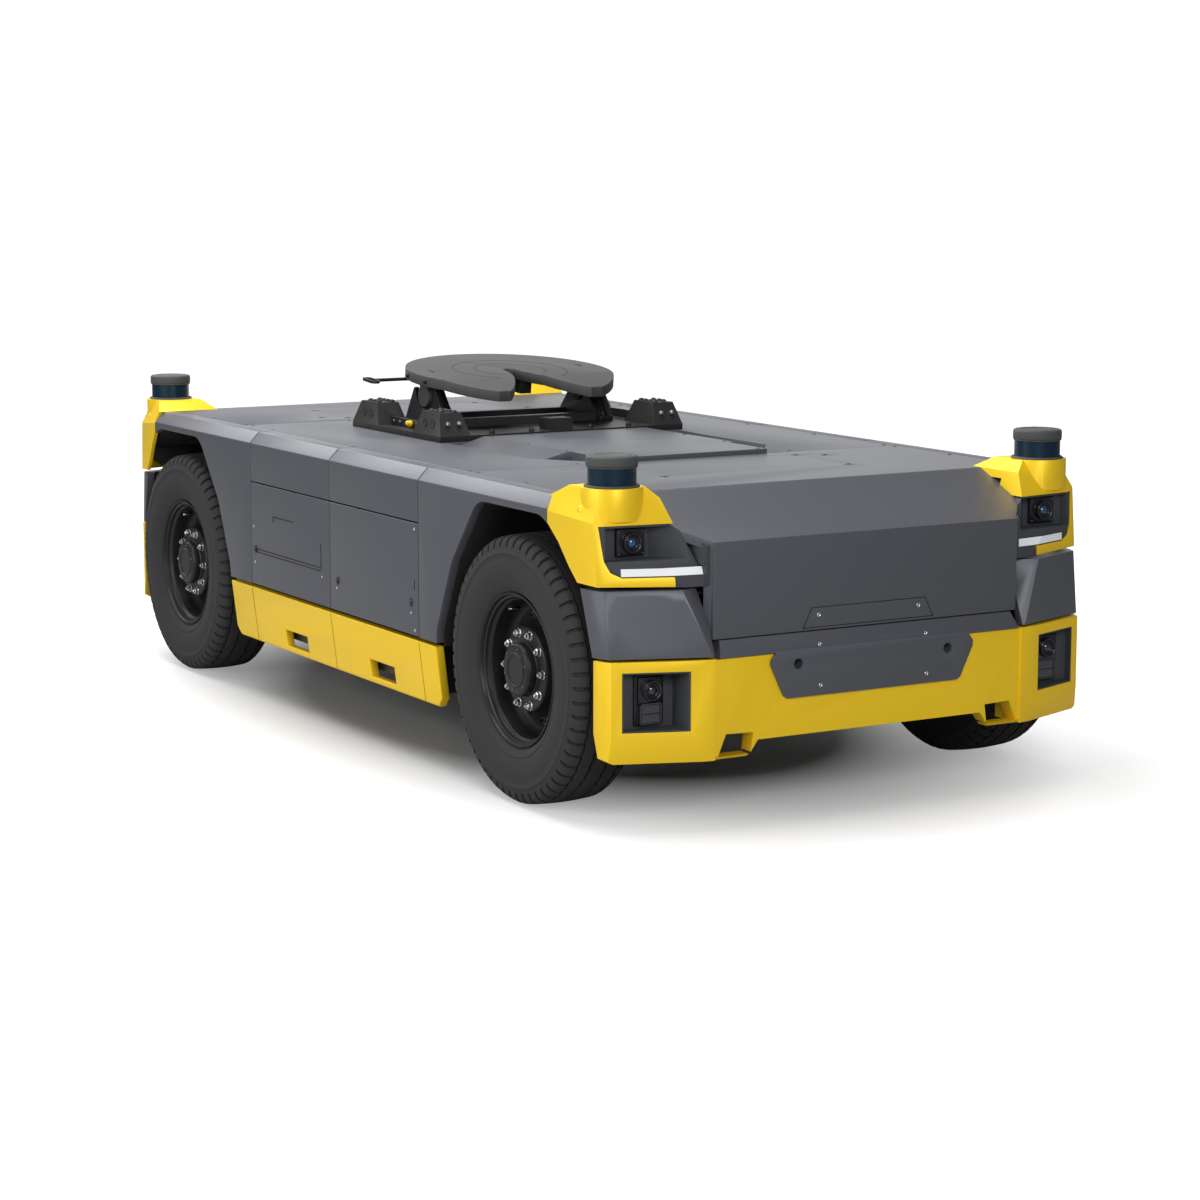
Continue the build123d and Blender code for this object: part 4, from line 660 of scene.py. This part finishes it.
class TRACTOR_OT_coupling_fittings(bpy.types.Operator):
    """Bolt the coupling down, and mark the plate's grease grooves and slots"""
    bl_idname = "tractor.coupling_fittings"
    bl_label = "Coupling fittings"

    def execute(self, context):
        radius = sizes().bolt_radius
        tops, sides, ends = [], [], []
        for cx, cy in BLOCK_CENTRES:
            out = -1 if cy < 0 else 1
            inward = 1 if cx < -0.4 else -1
            tops += [stand((cx + dx, cy + dy * out, BLOCK_TOP), UP, dx * 40)
                     for dx, dy in BLOCK_BOLTS]
            lean = (0, out * 0.974, 0.228)
            sides += [stand((cx + dx, cy + out * 0.0634, SIDE_LEVEL), lean) for dx in (-0.036, 0.036)]
            face = (-inward * 0.891, 0, 0.454)
            end = cx - inward * (0.0855 + (BLOCK_TOP - SIDE_LEVEL) * END_SLOPE)
            ends += [stand((end, cy + dy, SIDE_LEVEL), face) for dy in (-0.028, 0.028)]
        bolts = joined([copies(fastener(DOME, radius, 20), tops),
                        copies(fastener(WASHER, radius * 0.92, 20), tops)])
        add_piece("block_bolts", *bolts, "chassis", "coupling_black")
        # Holes in the blocks' sides as black shallow discs: painted shade inside the holes
        holes = turned([(0.0185, 0.0006), (0.0185, 0.0016), (0.0155, 0.001), (0.015, -0.004),
                        (0.0, -0.004)], 28)
        add_piece("block_holes", *copies(holes, sides), "chassis", "coupling_black", "seam_black")
        add_piece("block_screws", *copies(fastener(NUT, 0.011, 6), ends), "chassis", "coupling_black",
                  "bright_zinc", smooth=False)
        rail_bolts, feet = [], []
        for side in (-1, 1):
            rail_bolts += [stand((x, side * 0.5532, 1.271), (0, side, 0))
                           for x in (-0.53, -0.47, -0.3, -0.24)]
            feet += [stand((TILT_AXIS[0] + dx, side * RAIL_FOOT, BASE_TOP + 0.022), UP)
                     for dx in (-0.17, -0.1, 0.1, 0.17)]
            feet += [stand((x, side * y, BASE_TOP), UP) for x in (-0.8, 0.03) for y in (0.15, 0.35)]
        add_piece("base_bolts", *copies(fastener(NUT, 0.0125, 6), feet), "chassis", "coupling_black", smooth=False)
        add_piece("rail_bolts", *copies(fastener(DOME, 0.0095, 16), rail_bolts), "chassis",
                  "coupling_black", "dark_screw")
        cap = turned([(0, 0), (0.015, 0), (0.015, 0.01), (0.012, 0.014), (0.012, 0.022), (0.008, 0.028),
                      (0, 0.029)], 20)
        caps = [stand((-0.355, side * 0.5535, 1.272), (0, side, 0.25)) for side in (-1, 1)]
        add_piece("grease_caps", *copies(cap, caps), "chassis", "safety_yellow", "grease_cap")
        tilted = plate_frame()
        arcs = joined([groove_arc(0.165, 0.62), groove_arc(0.265, 0.66)])
        add_piece("grease_grooves", *copies(arcs, [tilted]), "coupling", "coupling_steel", "seam_black")
        # Black strips for the plate's slots: painted shade in the slot openings
        slots = joined([block((0.06, 0.013, 0.003), (-0.045, side * 0.385, PLATE_TOP - 0.0008))
                        for side in (-1, 1)])
        add_piece("plate_slots", *copies(slots, [tilted]), "coupling", "coupling_steel", "seam_black")
        studs = [tilted @ stand((x, side * 0.4755 * math.cos(a), 0.079), (0, side, 0))
                 for side in (-1, 1) for x, a in ((-0.1, 0.21), (0.08, 0.17))]
        add_piece("plate_studs", *copies(fastener(NUT, 0.011, 6), studs), "coupling", "coupling_black", smooth=False)
        return {"FINISHED"}


# Panels
DECK_FACE, COVER_FACE = 1.2262, 1.2462
DOOR_FACE = 1.1502
HOOD_FRONT, LIP_FRONT, PLATE_FRONT = 2.4052, 2.4352, 2.4442
LIP_NORMAL = (0.851, 0, 0.525)
FLAP_LEVELS = (0.722, 0.797)
FLAP_REACH = (0.262, 0.3)
SILL_SEAMS = (-0.8, 0.047, 0.895)
SILL_TOP, SILL_FOOT = (1.1502, 0.519), (1.1203, 0.273)     # across and up
PLUG = ((0.0, 0.0012), (0.013, 0.0012), (0.015, -0.001), (0.0, -0.001))
PLUG_PLACE, PLUG_NORMAL = (2.1384, 1.1092, 1.1932), (0.1658, 0.9102, 0.3796)

# Marks on the doors of each end, as places along and up: latches, small screws, and bars or shut lines
DOOR_MARKS = {
    1: {"latches": [(0.127, 0.668), (0.832, 0.673)],
        "dots": [(0.116, 0.636), (0.826, 0.627), (0.862, 0.975), (0.862, 0.56)],
        "bars": [((0.861, 0.731), (0.861, 0.768))]},
    -1: {"latches": [(-0.749, 0.7)],
         "dots": [(-0.756, 0.64), (-0.036, 0.664), (-0.77, 0.8)],
         "bars": [((-0.043, 0.7), (-0.043, 0.807)), ((-0.735, 0.702), (-0.05, 0.702)),
                  ((-0.735, 0.688), (-0.05, 0.688)), ((-0.551, 0.868), (-0.333, 0.868)),
                  ((-0.551, 0.868), (-0.551, 0.845))]},
}


def seam_loop(corners, width, depth, normal):
    """Closed thin band along straight edges between corners, as one slim box an edge."""
    shapes = []
    normal = Vector(normal)
    for a, b in zip(corners, corners[1:] + corners[:1]):
        a, b = Vector(a), Vector(b)
        along = (b - a).normalized()
        matrix = Matrix((along, normal.cross(along), normal)).transposed().to_4x4()
        matrix.translation = (a + b) / 2
        shapes.append(block(((b - a).length + width, width, depth), (0, 0, 0), matrix))
    return joined(shapes)


class TRACTOR_OT_panel_fittings(bpy.types.Operator):
    """Add screws, flap seams, hinge pins and latches to the panels"""
    bl_idname = "tractor.panel_fittings"
    bl_label = "Panel fittings"

    def execute(self, context):
        s = sizes()
        width, thin = s.seam_width, 0.0012
        for end, ex in ENDS:
            front = ex * HOOD_FRONT
            slant = (ex * LIP_NORMAL[0], 0, LIP_NORMAL[2])
            screws = [stand((front, y, 0.768), (ex, 0, 0)) for y in (-0.23, 0.23)]
            screws += [stand((ex * LIP_FRONT, y, 0.663), slant) for y in (-0.245, 0.245)]
            screws += [stand((ex * PLATE_FRONT, y, 0.508), (ex, 0, 0)) for y in (-0.245, 0.245)]
            add_piece(f"cover_screws_{end}", *copies(fastener(SCREW, 0.0095, 20), screws), "chassis",
                      "panel_grey", "bright_zinc")
            (z0, z1), (y0, y1) = FLAP_LEVELS, FLAP_REACH
            loop = [(front, -y1, z0), (front, -y0, z1), (front, y0, z1), (front, y1, z0)]
            add_piece(f"cover_seam_{end}", *seam_loop(loop, width, thin, (1, 0, 0)), "chassis",
                      "panel_grey", "seam_black")
        deck = [(x, y) for x in (-1.08, -0.86, 0.0, 0.55, 1.08) for y in (-1.012, 1.012)]
        deck += [(x, y) for x in (-1.08, 1.08) for y in (-0.52, 0.52)]
        hood = [(ex * x, side * y) for ex in (-1, 1)
                for x, y in ((1.16, 1.012), (1.55, 1.012), (1.16, 0.3)) for side in (-1, 1)]
        points = [stand((x, y, DECK_FACE), UP) for x, y in deck + hood]
        points += [stand((x, y, COVER_FACE), UP) for x in (0.1, 0.44, 0.77) for y in (-0.392, 0.392)]
        points += [stand((1.09, y, COVER_FACE), UP) for y in (-0.355, 0.355)]
        add_piece("deck_screws", *copies(fastener(SCREW, s.screw_radius, 16), points), "chassis",
                  "panel_grey", "dark_screw")
        for name, ex, sy in CORNERS:
            body = f"hatch_{name}"
            face = sy * DOOR_FACE
            marks = DOOR_MARKS[ex]
            latches = [stand((x, face, z), (0, sy, 0)) @ np.diag((1.0, 1.7, 1.0, 1.0))
                       for x, z in marks["latches"]]
            add_piece(f"door_latches_{name}", *copies(fastener(LATCH, 0.0105, 20), latches), body,
                      "panel_grey", "lamp_black")
            dots = [stand((x, face, z), (0, sy, 0)) for x, z in marks["dots"]]
            add_piece(f"door_screws_{name}", *copies(fastener(SCREW, 0.0065, 16), dots), body,
                      "panel_grey", "bright_zinc")
            bars = [block((abs(x1 - x0) + 0.004, thin * 2, abs(z1 - z0) + 0.004),
                          ((x0 + x1) / 2, face, (z0 + z1) / 2)) for (x0, z0), (x1, z1) in marks["bars"]]
            add_piece(f"door_bars_{name}", *joined(bars), body, "panel_grey", "seam_black", smooth=False)
        # Thin strips of darkened yellow down the sill below the panel seams: painted shade in its creases
        creases = []
        for side in (-1, 1):
            for x in SILL_SEAMS:
                top, foot = (Vector((x, side * y, z)) for y, z in (SILL_TOP, SILL_FOOT))
                turn = (top - foot).to_track_quat("Z", "Y").to_matrix().to_4x4()
                matrix = Matrix.Translation((top + foot) / 2) @ turn
                creases.append(block((0.0022, 0.0022, (top - foot).length), (0, 0, 0), matrix))
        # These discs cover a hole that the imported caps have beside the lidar's collar
        places = [at_corner(PLUG_PLACE, PLUG_NORMAL, ex, sy) for _, ex, sy in CORNERS]
        add_piece("cap_plugs", *copies(turned(PLUG, 28), places), "chassis", "safety_yellow")
        add_piece("sill_creases", *joined(creases), "chassis", "safety_yellow", "seam_yellow", smooth=False)
        return {"FINISHED"}


# Lamps and lidars
def prism(profile, near, far):
    """Solid between two flat outlines in X and Z, whose Y goes linearly along X from near to far."""
    profile = np.array(profile)
    share = (profile[:, 0] - profile[:, 0].min()) / np.ptp(profile[:, 0])
    sides = [np.c_[profile[:, 0], a + (b - a) * share, profile[:, 1]] for a, b in (near, far)]
    count = len(profile)
    around = np.arange(count)
    after = (around + 1) % count
    walls = np.c_[around, after, after + count, around + count]
    # each triangle of the two fans is a quad whose last two corners are one
    fan = np.c_[np.zeros(count - 2, int), around[1:-1], around[2:], around[2:]]
    return np.vstack(sides), np.vstack([walls, fan, fan + count])


def cheek(ex, sy):
    """Slim side of the headlamp housing that reaches forward beside the hood, open for the light bar."""
    plate = prism([(2.225, 0.915), (2.392, 0.915), (2.392, 1.062), (2.225, 1.112)], (0.7065, 0.7065),
                  (0.72, 0.72))
    wedge = prism([(2.225, 0.988), (2.38, 0.988), (2.392, 1.03), (2.392, 1.062), (2.225, 1.112)],
                  (0.72, 0.72), (0.762, 0.7205))
    points, faces = joined([plate, wedge])
    return points * (ex, sy, 1.0), faces


BEZEL = ((0.0365, -0.002), (0.0385, 0.004), (0.0385, 0.009), (0.035, 0.011), (0.03, 0.008),
         (0.0265, 0.002), (0.0265, -0.002))
INNER_RING = ((0.0265, -0.001), (0.0265, 0.004), (0.024, 0.006), (0.02, 0.002), (0.019, -0.001))
LENS = ((0.0, 0.0085), (0.006, 0.008), (0.012, 0.006), (0.017, 0.0025), (0.0195, -0.001), (0.0, -0.001))
CAMERA_PLACE = (2.253, 0.953, 1.071)
CAMERA_BODY_FACE = 2.2405
LOW_LAMP_PLACE = (2.338, 0.918, 0.533)
GLASS_FACE = 2.3262
GLASS_SIDES = (0.88, 0.956)
GLASS_LEVELS = (0.462, 0.427)
FRAME_FOOT, FRAME_TOP, FRAME_GAP = 0.408, 0.482, 0.006


class TRACTOR_OT_lamps(bpy.types.Operator):
    """Fit bezels, lenses and glass to the cameras and the lower lamps"""
    bl_idname = "tractor.lamps"
    bl_label = "Lamps and cameras"

    def execute(self, context):
        bezel, inner, dome = (turned(section, 40) for section in (BEZEL, INNER_RING, LENS))
        ahead = (1, 0, 0)
        for name, ex, sy in CORNERS:
            eye = at_corner(CAMERA_PLACE, ahead, ex, sy)
            low = at_corner(LOW_LAMP_PLACE, ahead, ex, sy)
            rings = joined([copies(bezel, [eye, low]), copies(inner, [eye, low])])
            add_piece(f"lens_rings_{name}", *rings, "chassis", "lamp_black")
            # The camera lens's blue is a painted reflection
            add_piece(f"camera_lens_{name}", *copies(dome, [eye]), "chassis", "lamp_black", "lens_blue")
            add_piece(f"lamp_lens_{name}", *copies(dome, [low]), "chassis", "lamp_black", "lens_glass")
            x = ex * GLASS_FACE
            y0, y1 = sorted(sy * side for side in GLASS_SIDES)
            panes = joined([block((0.003, y1 - y0, 0.03), (x, (y0 + y1) / 2, z)) for z in GLASS_LEVELS])
            add_piece(f"lower_glass_{name}", *panes, "chassis", "lamp_black", "lens_glass", smooth=False)
            y0, y1 = y0 - FRAME_GAP, y1 + FRAME_GAP
            loop = [(x, y0, FRAME_FOOT), (x, y1, FRAME_FOOT), (x, y1, FRAME_TOP), (x, y0, FRAME_TOP)]
            add_piece(f"lower_frame_{name}", *seam_loop(loop, 0.004, 0.006, (1, 0, 0)), "chassis",
                      "lamp_black", "housing_plastic", smooth=False)
            _, y, z = CAMERA_PLACE
            marks = [at_corner((CAMERA_BODY_FACE, y + dy, z + dz), ahead, ex, sy)
                     for dy in (-0.05, 0.05) for dz in (-0.041, 0.041)]
            add_piece(f"cheek_{name}", *cheek(ex, sy), "chassis", "housing_plastic",
                      smooth=False)
            add_piece(f"camera_screws_{name}", *copies(fastener(SCREW, 0.0045, 12), marks), "chassis",
                      "lamp_black", "dark_screw")
        return {"FINISHED"}


LIDAR_RADIUS = 0.091
LIDAR_BASE = ((0.088, 0.0), (0.104, 0.0), (0.104, 0.004), (0.1, 0.008), (0.0935, 0.009),
              (0.0915, 0.006), (0.088, 0.006))
LIDAR_BAND = ((0.0905, -0.0065), (0.094, -0.0065), (0.0955, -0.004), (0.0955, -0.001), (0.0905, -0.001))
LIDAR_CROWN = ((0.0, 0.0), (0.07, 0.0), (0.074, -0.001), (0.07, 0.0012), (0.066, 0.0012),
               (0.064, 0.0), (0.0, 0.0004))
CAP_SCREW_CIRCLE = 0.083


class TRACTOR_OT_lidars(bpy.types.Operator):
    """Ring the lidar windows and finish their caps"""
    bl_idname = "tractor.lidars"
    bl_label = "Lidars"

    def execute(self, context):
        low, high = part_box("lidar_windows")
        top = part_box("lidar_caps")[1][2]
        far_x, far_y = high[0] - LIDAR_RADIUS, high[1] - LIDAR_RADIUS
        rings = [(turned(section, 56), level) for section, level in (
            (LIDAR_BASE, low[2]), (LIDAR_BAND, high[2]), (LIDAR_CROWN, top))]
        for name, ex, sy in CORNERS:
            x, y = ex * far_x, sy * far_y
            trim = joined([copies(ring, [stand((x, y, level), UP)]) for ring, level in rings])
            add_piece(f"lidar_trim_{name}", *trim, "chassis", "lidar_cap")
            screws = [stand((x + CAP_SCREW_CIRCLE * math.cos(a), y + CAP_SCREW_CIRCLE * math.sin(a),
                             top - 0.0002), UP) for a in (0.5, 2.6, 4.7)]
            add_piece(f"lidar_screws_{name}", *copies(fastener(SCREW, 0.004, 10), screws), "chassis",
                      "lidar_cap", "dark_screw")
        return {"FINISHED"}


# Stage
PHOTO_SIZE = 1200.0
FOCAL_PIXELS = 2862.89
OPTICAL_CENTRE = (591.49, 584.0)
EYE = (11.148, -6.257, 2.494)
AIM = (0.3592, -0.0331, 0.6)
SHADOW_REACH = (2.7, 1.6, 1.0)    # half sizes of the oval round the object where the floor is lifted less: painted shade round its real shadow
WORLD_GLOSS, WORLD_FILL = 0.22, 0.14


def look(eye, aim):
    """Matrix of a camera or lamp at eye whose -Z points at aim."""
    ahead = (Vector(aim) - Vector(eye)).normalized()
    right = ahead.cross(Vector(UP)).normalized()
    turn = Matrix((right, right.cross(ahead), -ahead)).transposed().to_4x4()
    return Matrix.Translation(eye) @ turn


class TRACTOR_OT_stage(bpy.types.Operator):
    """Set the camera, the pale floor and the soft studio lamps"""
    bl_idname = "tractor.stage"
    bl_label = "Stage"

    def execute(self, context):
        self.camera(context.scene)
        self.floor()
        for label, eye, aim, size, power in (
                ("lamp_over", (-0.5, -1.0, 7.5), (0.0, 0.0, 0.0), (7.0, 5.0), 620.0),
                ("lamp_side", (1.0, -8.0, 3.2), (0.2, 0.0, 0.7), (6.0, 2.6), 255.0),
                ("lamp_edge", (-6.5, -1.6, 5.6), (0.5, -1.1, 1.2), (3.5, 3.5), 260.0),
                ("lamp_end", (10.0, -3.0, 4.5), (1.5, 0.0, 0.6), (4.0, 3.0), 380.0),
                ("lamp_back", (-9.0, 5.5, 2.6), (0.0, 0.0, 1.1), (14.0, 5.0), 260.0)):
            light = bpy.data.lights.new(label, "AREA")
            light.shape = "RECTANGLE"
            light.size, light.size_y = size
            light.energy = power
            placed(label, light).matrix_world = look(eye, aim)
        self.world(context.scene)
        context.scene.view_settings.view_transform = "Standard"
        return {"FINISHED"}

    def camera(self, scene):
        """Camera that sees what the photograph's camera saw."""
        data = bpy.data.cameras.new("camera")
        data.sensor_width = 36
        data.lens = FOCAL_PIXELS / PHOTO_SIZE * data.sensor_width
        data.shift_x = (PHOTO_SIZE / 2 - OPTICAL_CENTRE[0]) / PHOTO_SIZE
        data.shift_y = (OPTICAL_CENTRE[1] - PHOTO_SIZE / 2) / PHOTO_SIZE
        item = placed("camera", data)
        item.matrix_world = look(EYE, AIM)
        scene.camera = item

    def floor(self):
        """Round pale floor; what the camera sees of it is lifted towards white, less so near the object: painted
        shade round its real shadow.
        """
        points, faces = turned([(0.0, 0.0), (1.0, 0.0), (60.0, 0.0)], 64)
        mesh = bpy.data.meshes.new("floor")
        mesh.from_pydata(points.tolist(), [], faces.tolist())
        mat, tree, shader = new_surface("floor")
        patch = noise(tree, 0.6, 2.0)
        pale = tuple(colours().floor)
        tree.links.new(shader.inputs["Base Color"], blend_colour(tree, patch, scaled(pale, 0.99), pale))
        shader.inputs["Roughness"].default_value = 0.7
        shader.inputs["Specular IOR Level"].default_value = 0.25
        path = tree.nodes.new("ShaderNodeLightPath")
        seen = path.outputs["Is Camera Ray"]
        place = tree.nodes.new("ShaderNodeVectorMath")
        place.operation = "DIVIDE"
        place.inputs[1].default_value = SHADOW_REACH
        tree.links.new(place.inputs[0], tree.nodes.new("ShaderNodeTexCoord").outputs["Object"])
        length = tree.nodes.new("ShaderNodeVectorMath")
        length.operation = "LENGTH"
        tree.links.new(length.inputs[0], place.outputs["Vector"])
        distance = length.outputs["Value"]
        # The lift grows from the oval's edge outwards, so the dimmer floor round the object is painted shade
        near = math_node(tree, "MULTIPLY", ramp(tree, distance, 0.62, 1.1), 0.62)
        far = math_node(tree, "MULTIPLY", ramp(tree, distance, 1.2, 2.6), 0.38)
        away = math_node(tree, "ADD", near, far)
        glow = blend_colour(tree, math_node(tree, "MULTIPLY", seen, away), (0.0, 0.0, 0.0), (1.0, 1.0, 1.0))
        tree.links.new(shader.inputs["Emission Color"], glow)
        shader.inputs["Emission Strength"].default_value = 1.0
        mesh.materials.append(mat)
        item = placed("floor", mesh)

    def world(self, scene):
        """White to the camera, in gloss and through glass; a soft even fill on the object."""
        world = bpy.data.worlds.new("studio")
        scene.world = world
        world.use_nodes = True
        tree = world.node_tree
        back = tree.nodes["Background"]
        back.inputs["Color"].default_value = (1, 1, 1, 1)
        path = tree.nodes.new("ShaderNodeLightPath")
        seen = math_node(tree, "MAXIMUM", path.outputs["Is Camera Ray"], path.outputs["Is Transmission Ray"])
        gloss = math_node(tree, "MULTIPLY", path.outputs["Is Glossy Ray"], WORLD_GLOSS)
        strength = math_node(tree, "MAXIMUM", math_node(tree, "MAXIMUM", seen, gloss), WORLD_FILL)
        tree.links.new(back.inputs["Strength"], strength)


class TRACTOR_PT_panel(bpy.types.Panel):
    """Sizes, colours and pieces of the tractor"""
    bl_idname = "TRACTOR_PT_panel"
    bl_label = "Terminal tractor"
    bl_space_type = "VIEW_3D"
    bl_region_type = "UI"
    bl_category = "Tractor"

    def draw(self, context):
        for values in (context.scene.tractor_sizes, context.scene.tractor_colours):
            for name in values.__annotations__:
                self.layout.prop(values, name)
        for operator in OPERATORS:
            self.layout.operator(operator.bl_idname)


OPERATORS = (TRACTOR_OT_surfaces, TRACTOR_OT_tyres, TRACTOR_OT_rims, TRACTOR_OT_coupling_fittings,
             TRACTOR_OT_panel_fittings, TRACTOR_OT_lamps, TRACTOR_OT_lidars, TRACTOR_OT_stage)
CLASSES = (TractorSizes, TractorColours) + OPERATORS + (TRACTOR_PT_panel,)


def register():
    for item in CLASSES:
        bpy.utils.register_class(item)
    bpy.types.Scene.tractor_sizes = PointerProperty(type=TractorSizes)
    bpy.types.Scene.tractor_colours = PointerProperty(type=TractorColours)


def unregister():
    del bpy.types.Scene.tractor_colours
    del bpy.types.Scene.tractor_sizes
    for item in reversed(CLASSES):
        bpy.utils.unregister_class(item)


def main():
    """Make every piece in order."""
    register()
    bpy.ops.tractor.surfaces()
    bpy.ops.tractor.tyres()
    bpy.ops.tractor.rims()
    bpy.ops.tractor.coupling_fittings()
    bpy.ops.tractor.panel_fittings()
    bpy.ops.tractor.lamps()
    bpy.ops.tractor.lidars()
    bpy.ops.tractor.stage()


if __name__ == "__main__":
    main()
